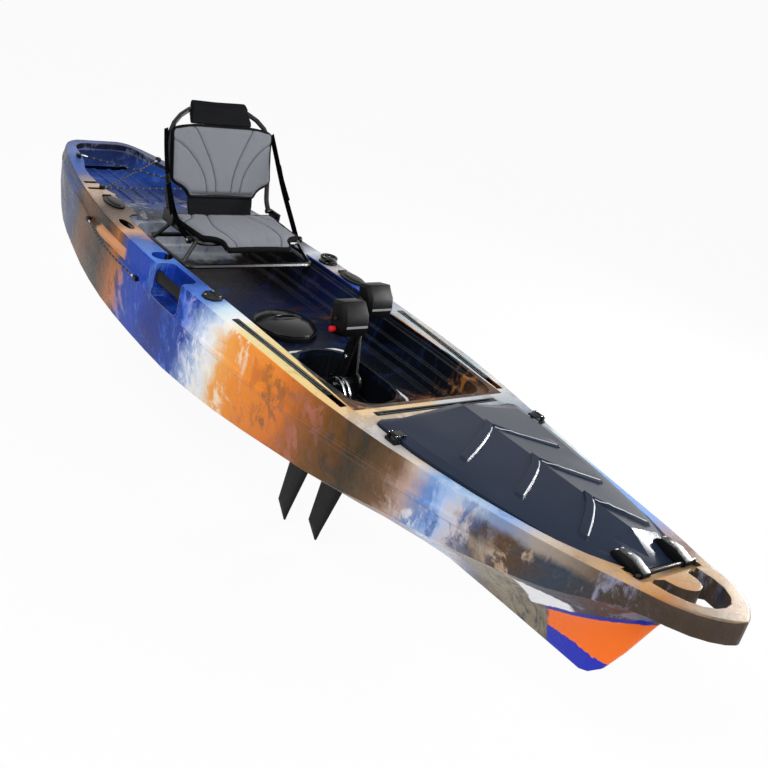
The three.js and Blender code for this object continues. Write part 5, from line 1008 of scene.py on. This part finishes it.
class Pad:
    """A stuffed pad: its plane, its swollen mesh, and seams sewn into it."""

    def __init__(self, node, look, start, across, along, voxel=0.006, pressure=3.0, cap=0.006):
        self.node, self.body = node, body_of(node)
        self.start, self.across, self.along = Vector(start), Vector(across), Vector(along)
        self.facing = self.across.cross(self.along).normalized()
        self.piece = show(welded_copy(node), "padded_" + node, look)
        settle(self.piece, ("REMESH", {"mode": "VOXEL", "voxel_size": voxel}))
        push(self.piece.data, lambda place, normal: -0.0012)
        self.swell(pressure, cap)
        settle(self.piece, ("SUBSURF", {"levels": 1, "render_levels": 1}))
        self.read()

    def swell(self, pressure, cap):
        piece = self.piece
        rest = [point.co.copy() for point in piece.data.vertices]
        cloth = piece.modifiers.new("Cloth", "CLOTH")
        cloth.settings.use_pressure = True
        cloth.settings.uniform_pressure_force = pressure
        cloth.settings.effector_weights.gravity = 0
        cloth.point_cache.frame_start = 1
        cloth.point_cache.frame_end = 20
        scene = bpy.context.scene
        for step in range(1, 21):
            scene.frame_set(step)
        graph = bpy.context.evaluated_depsgraph_get()
        swollen = [point.co.copy() for point in piece.evaluated_get(graph).data.vertices]
        piece.modifiers.clear()
        scene.frame_set(1)
        kept = []
        for before, after in zip(rest, swollen):
            shift = after - before
            if shift.length > cap:
                shift = shift.normalized() * cap
            kept += list(before + shift)
        piece.data.vertices.foreach_set("co", kept)
        piece.data.update()

    def read(self):
        self.tree = tree_of(self.piece.data)

    def at(self, u, v):
        return self.start + self.across * u + self.along * v

    def front(self, u, v):
        """The point and normal of the pad's face at a place in its plane, or None beside it."""
        return self.face_from(u, v, self.facing)

    def back(self, u, v):
        return self.face_from(u, v, -self.facing)

    def face_from(self, u, v, way):
        place, normal, _, _ = self.tree.ray_cast(self.at(u, v) + way * 0.3, -way)
        return (place, normal) if place is not None else None

    def rim(self, middle, count, inset=0.002):
        """Points round the pad's edge, at half its thickness."""
        points = []
        size = Vector((self.across.length, self.along.length))
        for k in range(count):
            turn = 2 * math.pi * k / count
            step = Vector((math.cos(turn) / size.x, math.sin(turn) / size.y))
            low, high = 0.0, 0.6
            while high - low > 0.0008:
                mean = (low + high) / 2
                if self.front(middle[0] + step.x * mean, middle[1] + step.y * mean):
                    low = mean
                else:
                    high = mean
            reach = max(low - inset, 0.0)
            u, v = middle[0] + step.x * reach, middle[1] + step.y * reach
            points.append((self.front(u, v)[0] + self.back(u, v)[0]) / 2)
        for _ in range(2):
            points = [(points[k - 1] + points[k] * 2 + points[(k + 1) % count]) / 4 for k in range(count)]
        return points

    def sew(self, curves, depth=0.0045, width=0.007):
        """Presses the face in along each curve and puts two rows of stitches and a cord there."""
        lines = []
        for curve in curves:
            line = [self.front(p.x, p.y) for p in along_curve(curve, 60)]
            lines.append([spot for spot in line if spot])
        spots = [place for line in lines for place, _ in line]
        tree = kdtree.KDTree(len(spots))
        for k, spot in enumerate(spots):
            tree.insert(spot - self.facing * spot.dot(self.facing), k)
        tree.balance()

        def groove(place, normal):
            front = normal.dot(self.facing)
            if front < 0.3:
                return 0.0
            _, _, distance = tree.find(place - self.facing * place.dot(self.facing))
            return -depth * front * math.exp(-((distance / width) ** 2))

        push(self.piece.data, groove)
        self.read()
        stitch = settings("seat").stitch
        rows = []
        for number, curve in enumerate(curves):
            line = [self.front(p.x, p.y) for p in along_curve(curve, 160)]
            line = [spot for spot in line if spot]
            cord = swept([place + normal * 0.0002 for place, normal in line[::2]], 0.0013, 8)
            piece = show(cord, self.piece.name + "_seam_" + str(number + 1), "stitch_thread")
            fitted(piece, self.body)
            travelled = 0.0
            for (a, normal), (b, _) in zip(line, line[1:]):
                travelled += (b - a).length
                if travelled > stitch * 1.35:
                    travelled = 0.0
                    ahead = (b - a).normalized()
                    gap = normal.cross(ahead).normalized() * 0.0042
                    rows += [(a + gap, normal, ahead), (a - gap, normal, ahead)]
        self.stitches(rows, "stitches_" + self.node)

    def stitches(self, rows, name):
        length = settings("seat").stitch
        across, up = Vector((0, 1, 0)), Vector((0, 0, 1))
        rings = []
        for k in range(5):
            swell = math.sin(k / 4 * math.pi)
            radius = 0.0005 + 0.0004 * swell
            centre = Vector(((k / 4 - 0.5) * length, 0, 0.0006 * swell))
            rings.append(ring_round(centre, across * radius, up * radius, 6))
        shape = pattern_piece(rings, "stitch_thread")
        repeated(name, shape, rows, "stitch_thread", self.body)

    def bind(self, middle, width, height, bold=(), count=180):
        """A bound edge round the pad, thicker within the bold (u, v) boxes, with a row of stitches."""
        points = self.rim(middle, count)
        sizes = []
        for point in points:
            u = abs((point - self.start).dot(self.across)) / self.across.length_squared
            v = (point - self.start).dot(self.along) / self.along.length_squared
            sizes.append(1.75 if any(a < u < b and c < v < d for a, b, c, d in bold) else 1.0)
        for _ in range(6):
            sizes = [(sizes[k - 1] + sizes[k] * 2 + sizes[(k + 1) % count]) / 4 for k in range(count)]
        rings, rows = [], []
        for k, (point, size) in enumerate(zip(points, sizes)):
            ahead = (points[(k + 1) % count] - points[k - 1]).normalized()
            outward = ahead.cross(self.facing).normalized()
            rings.append(ring_round(point, outward * (width * size), self.facing * height, 12))
            rows.append((point + self.facing * (height * 0.97), self.facing, ahead))
        mesh = mesh_from(rings, True)
        smooth_by_angle(mesh, 60)
        fitted(show(mesh, "binding_" + self.node, "binding_tape"), self.body)
        self.stitches(rows, "binding_stitches_" + self.node)

    def done(self, fill=0.55):
        smooth_by_angle(self.piece.data, 60)
        fitted(self.piece, self.body, [self.node])


def mirrored(*curves):
    """Each (u, v) curve on both sides of the middle."""
    return [[(u * sign, v) for u, v in curve] for curve in curves for sign in (-1, 1)]


def back_up():
    """The way the leaning back points."""
    lean = settings("seat").lean
    return Vector((-math.sin(lean), 0, math.cos(lean)))


def cloth_panel(node, look, wrinkle, folds, rise, voxel=0.004):
    """A soft panel: the solid made taller by rise, remeshed and loosened by small folds."""
    piece = show(welded_copy(node), "soft_" + node, look)
    up, place = back_up(), middle(node)
    for point in piece.data.vertices:
        point.co += up * ((point.co - place).dot(up) * (rise - 1.0))
    settle(piece, ("REMESH", {"mode": "VOXEL", "voxel_size": voxel}), ("SMOOTH", {"factor": 0.6, "iterations": 6}))
    push(piece.data, lambda place, normal: noise.noise(place * Vector(folds)) * wrinkle)
    settle(piece, ("SUBSURF", {"levels": 1, "render_levels": 1}))
    smooth_by_angle(piece.data, 60)
    return fitted(piece, body_of(node), [node])


BAND_RING = ((-1, 0), (-0.93, -1.15), (-0.8, -1), (0.8, -1), (0.93, -1.15), (1, 0),
             (0.93, 1.15), (0.8, 1), (-0.8, 1), (-0.93, 1.15))


def band(points, width, thickness, wide):
    """Flat webbing along points, with thicker rounded edges. wide is the direction of its width."""
    rings = []
    for k, point in enumerate(points):
        ahead = (points[min(k + 1, len(points) - 1)] - points[max(k - 1, 0)]).normalized()
        side = (Vector(wide) - ahead * ahead.dot(Vector(wide))).normalized()
        up = side.cross(ahead)
        side, up = side * width / 2, up * thickness / 2
        rings.append([point + side * u + up * v for u, v in BAND_RING])
    mesh = mesh_from(rings)
    smooth_by_angle(mesh, 50)
    return mesh


def joined_mesh(meshes):
    """Several loose meshes as one."""
    work = bmesh.new()
    for mesh in meshes:
        work.from_mesh(mesh)
        bpy.data.meshes.remove(mesh)
    whole = bpy.data.meshes.new("joined")
    work.to_mesh(whole)
    work.free()
    return whole


def bar(start, end, radius, sides=12):
    """A plain rod with softened ends."""
    a, b = Vector(start), Vector(end)
    ahead = (b - a).normalized()
    tip = min(radius * 0.3, (b - a).length / 4)
    side = beside(ahead)
    up = side.cross(ahead)
    sizes = ((a, radius - tip), (a + ahead * tip, radius), (b - ahead * tip, radius), (b, radius - tip))
    mesh = mesh_from([ring_round(place, side * size, up * size, sides) for place, size in sizes])
    smooth_by_angle(mesh, 40)
    return mesh


def strap_points(sign):
    """The strap's sagging line from the front corner of the seat to the shoulder of the back."""
    side = "starboard" if sign < 0 else "port"
    low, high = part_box("seat_strap_" + side)
    foot = Vector((high.x - 0.009, (low.y + high.y) / 2, low.z + 0.009))
    top = Vector((low.x + 0.009, (low.y + high.y) / 2, high.z - 0.009))
    slack = 0.17 if sign < 0 else 0.035
    line = []
    for k in range(33):
        share = k / 32
        point = foot.lerp(top, share)
        point.z -= slack * 4 * share * (1 - share) * (top - foot).length
        point.y += sign * 0.1 * slack * math.sin(share * math.pi)
        point.y += sign * 0.0015 * math.sin(share * 9.0)
        line.append(point)
    return line


class KAYAK_OT_seat(bpy.types.Operator):
    """Dresses the seat: tube frames, stuffed mesh pads, panels, straps and knobs"""

    bl_idname = "kayak.seat"
    bl_label = "Seat"

    def execute(self, context):
        for node in ("seat_base_frame", "seat_pan_frame", "seat_back_frame"):
            dressed(node, "satin_black_coating", 0.0, 40)
        self.make_pads()
        self.make_panels()
        for side, sign in SIDES:
            self.make_strap(side, sign)
            self.make_knob(side, sign)
        return {"FINISHED"}

    def make_pads(self):
        binding = settings("seat").binding
        low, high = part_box("seat_pad")
        half = (high.y - low.y) / 2
        pad = Pad("seat_pad", "seat_mesh_cloth", (low.x, 0, high.z), (0, -half, 0), (high.x - low.x, 0, 0))
        inner = ((0.3, 0.02), (0.42, 0.22), (0.52, 0.5), (0.5, 0.8), (0.42, 0.97))
        pad.sew(mirrored(inner, ((0.6, 0.02), (0.72, 0.2), (0.93, 0.3))))
        pad.bind((0.0, 0.45), binding, binding * 2.2, ((0.55, 1.2, 0.6, 1.2),))
        pad.done()
        up = back_up()
        pad = Pad("back_pad", "seat_mesh_cloth", SEAT_HINGE + up * 0.05, (0, 0.254, 0), up * 0.311)
        inner = ((0.58, 0.97), (0.42, 0.75), (0.25, 0.47), (0.17, 0.26), (0.15, 0.08))
        outer = ((0.97, 0.79), (0.77, 0.7), (0.55, 0.52), (0.39, 0.31), (0.32, 0.08))
        pad.sew(mirrored(inner, outer) + [[(-0.62, 0.075), (0.0, 0.06), (0.62, 0.075)]])
        pad.bind((0.0, 0.5), binding, binding * 1.5, ((-0.1, 1.2, -0.2, 0.3), (-0.1, 1.2, 0.84, 1.2)))
        pad.done()

    def make_panels(self):
        cloth_panel("head_panel", "black_mesh_panel", 0.003, (26.0, 7.0, 30.0), 1.06)
        cloth_panel("lumbar_panel", "black_mesh_panel", 0.0025, (20.0, 6.0, 36.0), 1.22)

    def make_strap(self, side, sign):
        node = "seat_strap_" + side
        line = strap_points(sign)
        wide = (line[0] - line[-1]).cross(Vector((0, 1, 0)))
        parts = [band(line, 0.034, 0.0024, wide)]
        tail = [point + Vector((0, sign * 0.003, 0)) for point in line[14:22]]
        for k, point in enumerate(tail[:5]):
            tail[k] = point + Vector((0.002 * (5 - k), sign * 0.0016 * (5 - k), -0.003 * (5 - k)))
        parts.append(band(tail, 0.033, 0.002, wide))
        webbing = show(joined_mesh(parts), "webbing_" + side, "black_webbing")
        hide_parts(node)
        foot, top = line[0].copy(), line[-1].copy()
        at, half_width, proud = 22, 0.0155, 0.0018
        ahead = (line[at + 1] - line[at - 1]).normalized()
        half = wide.normalized() * half_width
        place = line[at] + Vector((0, sign * proud, 0))
        bars = []
        for shift, radius in ((-0.016, 0.0021), (-0.004, 0.0017), (0.009, 0.0017), (0.018, 0.0021)):
            spot = place + ahead * shift
            bars.append(bar(spot - half, spot + half, radius))
        for spot in (place - half, place + half):
            bars.append(bar(spot - ahead * 0.018, spot + ahead * 0.02, 0.0023))
        buckle = show(joined_mesh(bars), "strap_buckle_" + side, "black_fitting_plastic")
        for piece in (webbing, buckle):
            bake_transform(piece)

    def make_knob(self, side, sign):
        node = "seat_corner_knob_" + side
        low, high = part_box(node)
        centre = (low + high) / 2
        radius = (high.x - low.x) / 2 - 0.0004
        depth, groove = (high.y - low.y) / 2, 0.94
        rings = []
        for share, size in ((-1.0, 0.82), (-0.9, 0.93), (-0.6, 1.0), (0.5, 1.0),
                            (0.85, 0.92), (1.0, 0.72), (0.96, 0.5), (0.8, 0.42)):
            ring = []
            for k in range(36):
                turn = 2 * math.pi * k / 36
                reach = radius * size * (groove if k % 6 in (0, 5) and abs(share) < 0.95 else 1.0)
                ring.append(centre + Vector((reach * math.cos(turn), sign * depth * share, reach * math.sin(turn))))
            rings.append(ring)
        piece = show(mesh_from(rings), "corner_knob_" + side, "black_fitting_plastic")
        smooth_by_angle(piece.data, 35)
        fitted(piece, "boat", [node])
        screws("corner_bolt_" + side, 0.006, [(centre + Vector((0, sign * depth * 0.8, 0)), (0, sign, 0))])


# Cords and their eyes


def crimps(line, steps, far, radius):
    """Metal sleeves near both ends of a cord."""
    sleeves = []
    for tip, inner in ((line[0], line[steps]), (line[-1], line[-steps - 1])):
        ahead = (inner - tip).normalized()
        sleeves.append(bar(tip + ahead * 0.012, tip + ahead * far, radius))
    return sleeves


class KAYAK_OT_cords(bpy.types.Operator):
    """Braided cords: a paddle keeper along each side and the crossed cord over the tank well"""

    bl_idname = "kayak.cords"
    bl_label = "Cords"

    def execute(self, context):
        for side, _ in SIDES:
            self.make_keeper(side)
        self.make_tank_cord()
        for place in ("paddle_keeper_eye_rear_", "paddle_keeper_eye_front_", "bungee_eye_rear_", "bungee_eye_front_"):
            for side, _ in SIDES:
                dressed(place + side, "black_fitting_plastic", 0.0016, 35, 3)
        return {"FINISHED"}

    def make_keeper(self, side):
        node = "paddle_keeper_cord_" + side
        line = smooth_line(ring_centres(node), 0.006)
        piece = show(swept(line, CORD_RADIUS), "keeper_cord_" + side, "braided_cord")
        fitted(piece, "boat", [node])
        ends = crimps(line, 4, 0.034, 0.0049)
        fitted(show(joined_mesh(ends), "keeper_crimps_" + side, "bright_steel"), "boat")

    def make_tank_cord(self):
        rear, rear_side, rear_height = -1.79, 0.216, 0.504
        front, front_side, front_height = -1.38, 0.268, 0.49
        lift = 0.005  # half the space between the runs where they cross
        corners = [(rear, -rear_side, rear_height + lift), (front, front_side, front_height + lift),
                   (front, -front_side, front_height - lift), (rear, rear_side, rear_height - lift)]
        line = smooth_corners(corners, 0.013)
        piece = show(swept(line, CORD_RADIUS), "tank_cord", "braided_cord")
        fitted(piece, "boat", ["tank_bungee_cord"])
        ends = crimps(line, 12, 0.04, 0.0052)
        for y in (-front_side, front_side):
            ends.append(bar((front + 0.0062, y, 0.4855), (front + 0.0062, y, 0.4945), 0.0028))
        fitted(show(joined_mesh(ends), "tank_cord_crimps", "bright_steel"), "boat")


def smooth_corners(corners, bend, step=0.01):
    """Straight runs between corners, each corner rounded over a short length."""
    corners = [Vector(c) for c in corners]
    line = [corners[0]]
    for k in range(1, len(corners)):
        a, b = corners[k - 1], corners[k]
        start = line[-1]
        end = b
        last = k == len(corners) - 1
        if not last:
            end = b + (a - b).normalized() * bend
        count = max(2, int((end - start).length / step))
        line += [start.lerp(end, j / count) for j in range(1, count + 1)]
        if not last:
            out = b + (corners[k + 1] - b).normalized() * bend
            for j in range(1, 9):
                t = j / 8
                line.append(end * (1 - t) ** 2 + b * (2 * t * (1 - t)) + out * t ** 2)
    return line


# Drive


class KAYAK_OT_drive(bpy.types.Operator):
    """Dresses the pedal drive: cranks, pedals, red pins, well lip, axle straps, mount plate and fins"""

    bl_idname = "kayak.drive"
    bl_label = "Drive"

    def execute(self, context):
        dressed("drive_mount_plate", "black_fitting_plastic", 0.0015)
        dressed("drive_spine", "black_fitting_plastic", 0.0018)
        dressed("crank_axle", "bright_steel", 0.001)
        for end in ("rear", "front"):
            dressed("mast_" + end, "bright_steel", 0.0)
            dressed("fin_" + end, "blade_plastic", 0.0)
        for side, _ in SIDES:
            dressed("crank_arm_" + side, "satin_black_coating", 0.0012)
            dressed("pedal_" + side, "pedal_plastic", 0.0035, 35, 3)
            dressed("pedal_pin_" + side, "red_knob_plastic", 0.0018, 35, 3)
            self.make_pedal_trim(side)
        self.make_well_lip()
        self.make_brackets()
        return {"FINISHED"}

    def make_well_lip(self):
        """A pale bead round the mouth of the drive well, laid on the hull: a painted highlight along the well's
        moulded edge.
        """
        line = []
        for turn, (x, y) in enumerate(WELL_CORNERS):
            for k in range(9):
                angle = (turn + k / 8) * math.pi / 2
                start = (x + WELL_ROUND * math.cos(angle), y + WELL_ROUND * math.sin(angle), 0.44)
                place, normal = surface("hull", start)
                if place.z > 0.28:
                    line.append(place + normal * 0.0012)
        mesh = swept(line, 0.006, 10, True, 0.7)
        fitted(show(mesh, "well_lip", "polished_edge"), "boat")

    def make_brackets(self):
        """Bent steel straps over the crank axle, and the caps on the crank arms."""
        straps = []
        for y in (-0.082, -0.058):
            bend = smooth_line([(x, y, z) for x, z in AXLE_STRAP], 0.006)
            straps.append(band(bend, 0.0085, 0.0032, (0, 1, 0)))
        fitted(show(joined_mesh(straps), "axle_straps", "bright_steel"), body_of("drive_spine"))
        for side, sign in SIDES:
            a, b = Vector((0.24, sign * 0.036, 0.285)), Vector((0.24 - sign * 0.0676, sign * 0.051, 0.603))
            arm = "crank_arm_" + side
            spots = []
            for share in (0.1, 0.42):
                spot = a.lerp(b, share)
                spots.append(surface(arm, (spot.x, sign * 0.3, spot.z), (0, -sign, 0)))
            screws("crank_caps_" + side, 0.0085, spots, body_of(arm))

    def make_pedal_trim(self, side):
        """Tread studs on the foot face, and below them a pale ledge that is a painted highlight on the pedal's lower
        front edge.
        """
        node = "pedal_" + side
        low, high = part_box(node)
        centre = (low + high) / 2
        body = "pedal_body_" + side
        places = []
        for row in range(5):
            for column in range(5):
                y = centre.y + (column - 2) * 0.017
                z = high.z - 0.022 - row * 0.014
                if z > centre.z - 0.035:
                    places.append(surface(node, (low.x - 0.2, y, z), (1, 0, 0)))
        stud = pattern_piece(circles(((0.0042, -0.0006), (0.0036, 0.0012), (0.0026, 0.0019)), 8), "pedal_plastic")
        repeated("pedal_studs_" + side, stud, places, "pedal_plastic", body)
        if side == "port":
            inner = Vector((high.x - 0.022, low.y + 0.002, low.z + 0.024))
            cap = bar(inner, inner - Vector((0, 0.013, 0)), 0.0085, 20)
            fitted(show(cap, "pedal_cap_" + side, "red_knob_plastic"), body)
        # A pale strip: a painted highlight on the pedal's lower front edge.
        strip = []
        for k in range(13):
            y = low.y + 0.012 + (high.y - low.y - 0.024) * k / 12
            place, normal = surface(node, (high.x + 0.2, y, centre.z - 0.014), (-1, 0, 0))
            strip.append(place + normal * PROUD)
        mesh = band(strip, 0.009, 0.0018, (0, 0, 1))
        fitted(show(mesh, "pedal_strip_" + side, "pale_ledge"), body)


# Rim fittings and rudder


def track_spot(sign, share):
    """The middle of a gear track at a share of its length."""
    return TRACK_START + TRACK_LENGTH * share, sign * (TRACK_WIDE - TRACK_TAPER * share)


class KAYAK_OT_fittings(bpy.types.Operator):
    """Dresses tracks, caps, handles, the steering control and the rudder, with their screws"""

    bl_idname = "kayak.fittings"
    bl_label = "Fittings"

    def execute(self, context):
        for node in ("accessory_mount_cap", "steering_plate", "rudder_bracket",
                     "rod_holder_cap_starboard", "rod_holder_cap_port"):
            dressed(node, "black_fitting_plastic")
        dressed("steering_knob", "black_fitting_plastic", 0.0018, 30, 3)
        dressed("rudder_pin", "bright_steel", 0.001)
        dressed("rudder_blade", "blade_plastic", 0.0018)
        for node in ("gear_track_starboard", "gear_track_port", "crossbeam_track"):
            dressed(node, "dark_track_metal", 0.0006)
        for side, sign in SIDES:
            dressed("carry_handle_" + side, "soft_rubber", 0.003, 35, 3)
            self.make_track_line(side, sign)
        self.make_screws()
        return {"FINISHED"}

    def make_track_line(self, side, sign):
        """Bright steel strips along a gear track's slot lips, which stand for a painted highlight there, and its
        screws.
        """
        node = "gear_track_" + side
        points = [track_spot(sign, 0.06 + 0.88 * k / 24) for k in range(25)]
        lips = []
        for edge in (-0.0056, 0.0056):
            line = [surface(node, (x, y + edge, ABOVE))[0] for x, y in points]
            lips.append(band(line, 0.0011, 0.0011, (0, 1, 0)))
        fitted(show(joined_mesh(lips), "track_lips_" + side, "bright_steel"), "boat")
        spots = [track_spot(sign, share) for share in (0.08, 0.22, 0.36, 0.5, 0.64, 0.78, 0.92)]
        screws("track_screws_" + side, 0.0034, drops(node, spots))

    def make_screws(self):
        cap, plate = middle("accessory_mount_cap"), middle("steering_plate")
        screws("cap_screws", 0.0036, drops("accessory_mount_cap", ring_spots(cap, 0.033, 3, 0.5)))
        screws("steering_screws", 0.003, drops("steering_plate", ring_spots(plate, 0.0375, 4, math.pi / 4)))
        beam = [(0.752, -0.25 + 0.1 * k) for k in range(6)]
        screws("crossbeam_screws", 0.0032, drops("crossbeam_track", beam))


# Stage


class KAYAK_OT_stage(bpy.types.Operator):
    """Sets the camera, the lamps, the pale floor and the room's light"""

    bl_idname = "kayak.stage"
    bl_label = "Stage"

    def execute(self, context):
        scene = context.scene
        scene.view_settings.view_transform = "Standard"
        self.make_camera(scene)
        self.make_floor()
        self.make_room(scene)
        self.make_lamps()
        return {"FINISHED"}

    def make_camera(self, scene):
        camera = bpy.data.objects.new("photo_camera", bpy.data.cameras.new("photo_camera"))
        camera.data.lens = settings("stage").lens
        camera.data.sensor_width = 36
        camera.data.clip_end = 1000
        look = CAMERA_LOOK.normalized()
        up = CAMERA_RIGHT.normalized().cross(look).normalized()
        right = look.cross(up)
        turn = Matrix((right, up, -look)).transposed().to_4x4()
        camera.matrix_world = Matrix.Translation(CAMERA_PLACE) @ turn
        scene.collection.objects.link(camera)
        scene.camera = camera

    def make_floor(self):
        work = bmesh.new()
        bmesh.ops.create_grid(work, x_segments=2, y_segments=2, size=400)
        mesh = bpy.data.meshes.new("floor")
        work.to_mesh(mesh)
        work.free()
        mesh.transform(Matrix.Translation((0, 0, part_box("fin_rear")[0].z - 0.01)))
        floor_look = bpy.data.materials.new("pale_floor")
        floor_look.use_nodes = True
        tree = floor_look.node_tree
        n, shader = Nodes(tree), tree.nodes["Principled BSDF"]
        shader.inputs["Base Color"].default_value = (0.85, 0.85, 0.85, 1)
        shader.inputs["Roughness"].default_value = 0.9
        shader.inputs["Specular IOR Level"].default_value = 0.0
        glow = n.add("ShaderNodeEmission", {"Color": (1, 1, 1, 1), "Strength": 1.0})
        blend = n.add("ShaderNodeMixShader", {0: n.times(n.seen(), 0.93)})
        n.put(blend.inputs[1], shader.outputs[0])
        n.put(blend.inputs[2], glow.outputs[0])
        n.put(tree.nodes["Material Output"].inputs[0], blend.outputs[0])
        floor = bpy.data.objects.new("floor", mesh)
        mesh.materials.append(floor_look)
        bpy.context.scene.collection.objects.link(floor)

    def make_room(self, scene):
        world = bpy.data.worlds.new("white_room")
        scene.world = world
        world.use_nodes = True
        n = Nodes(world.node_tree)
        back = world.node_tree.nodes["Background"]
        level = n.add("ShaderNodeMapRange", {"Value": n.seen(), "To Min": settings("stage").sky, "To Max": 1.0})
        back.inputs["Color"].default_value = (1, 1, 1, 1)
        n.put(back.inputs["Strength"], level.outputs["Result"])

    def make_lamps(self):
        stage = settings("stage")
        for name, place, aim, size, power in (
            ("key", (2.2, -3.8, 4.2), BOAT_MIDDLE, 2.4, stage.key),
            ("fill", (4.6, 1.2, 3.0), BOAT_MIDDLE, 3.0, stage.fill),
            ("back", (-0.6, 4.6, 2.2), BOAT_MIDDLE, 2.4, stage.fill),
            ("glint", (1.35, 2.82, 1.5), LID_NOSE, 1.1, stage.glint),
        ):
            lamp = bpy.data.objects.new(name + "_lamp", bpy.data.lights.new(name + "_lamp", "AREA"))
            lamp.data.shape = "DISK"
            lamp.data.size = size
            lamp.data.energy = power
            lamp.location = place
            lamp.visible_camera = False
            lamp.visible_diffuse = name != "glint"
            lamp.visible_glossy = name != "back"
            lamp.rotation_euler = (aim - Vector(place)).to_track_quat("-Z", "Y").to_euler()
            bpy.context.scene.collection.objects.link(lamp)


# Add-on


class KAYAK_PT_panel(bpy.types.Panel):
    """Lists what the script makes and its sizes"""

    bl_idname = "KAYAK_PT_panel"
    bl_label = "Pedal Kayak"
    bl_space_type = "VIEW_3D"
    bl_region_type = "UI"
    bl_category = "Kayak"

    def draw(self, context):
        for name in ("hull", "seat", "fitting", "stage"):
            box = self.layout.box()
            group = getattr(context.scene, "kayak_" + name)
            for key in group.__annotations__:
                box.prop(group, key)
        for operator in OPERATORS:
            self.layout.operator(operator.bl_idname)


OPERATORS = (KAYAK_OT_stage, KAYAK_OT_cords, KAYAK_OT_hull, KAYAK_OT_hatches, KAYAK_OT_seat,
             KAYAK_OT_drive, KAYAK_OT_fittings)
GROUPS = (("hull", HullSettings), ("seat", SeatSettings), ("fitting", FittingSettings), ("stage", StageSettings))


def register():
    for name, group in GROUPS:
        bpy.utils.register_class(group)
        setattr(bpy.types.Scene, "kayak_" + name, PointerProperty(type=group))
    for operator in OPERATORS:
        bpy.utils.register_class(operator)
    bpy.utils.register_class(KAYAK_PT_panel)


def unregister():
    bpy.utils.unregister_class(KAYAK_PT_panel)
    for operator in reversed(OPERATORS):
        bpy.utils.unregister_class(operator)
    for name, group in reversed(GROUPS):
        delattr(bpy.types.Scene, "kayak_" + name)
        bpy.utils.unregister_class(group)


def main():
    register()
    make_materials()
    bpy.ops.kayak.stage()
    bpy.ops.kayak.cords()
    bpy.ops.kayak.hull()
    bpy.ops.kayak.hatches()
    bpy.ops.kayak.seat()
    bpy.ops.kayak.drive()
    bpy.ops.kayak.fittings()


if __name__ == "__main__":
    main()
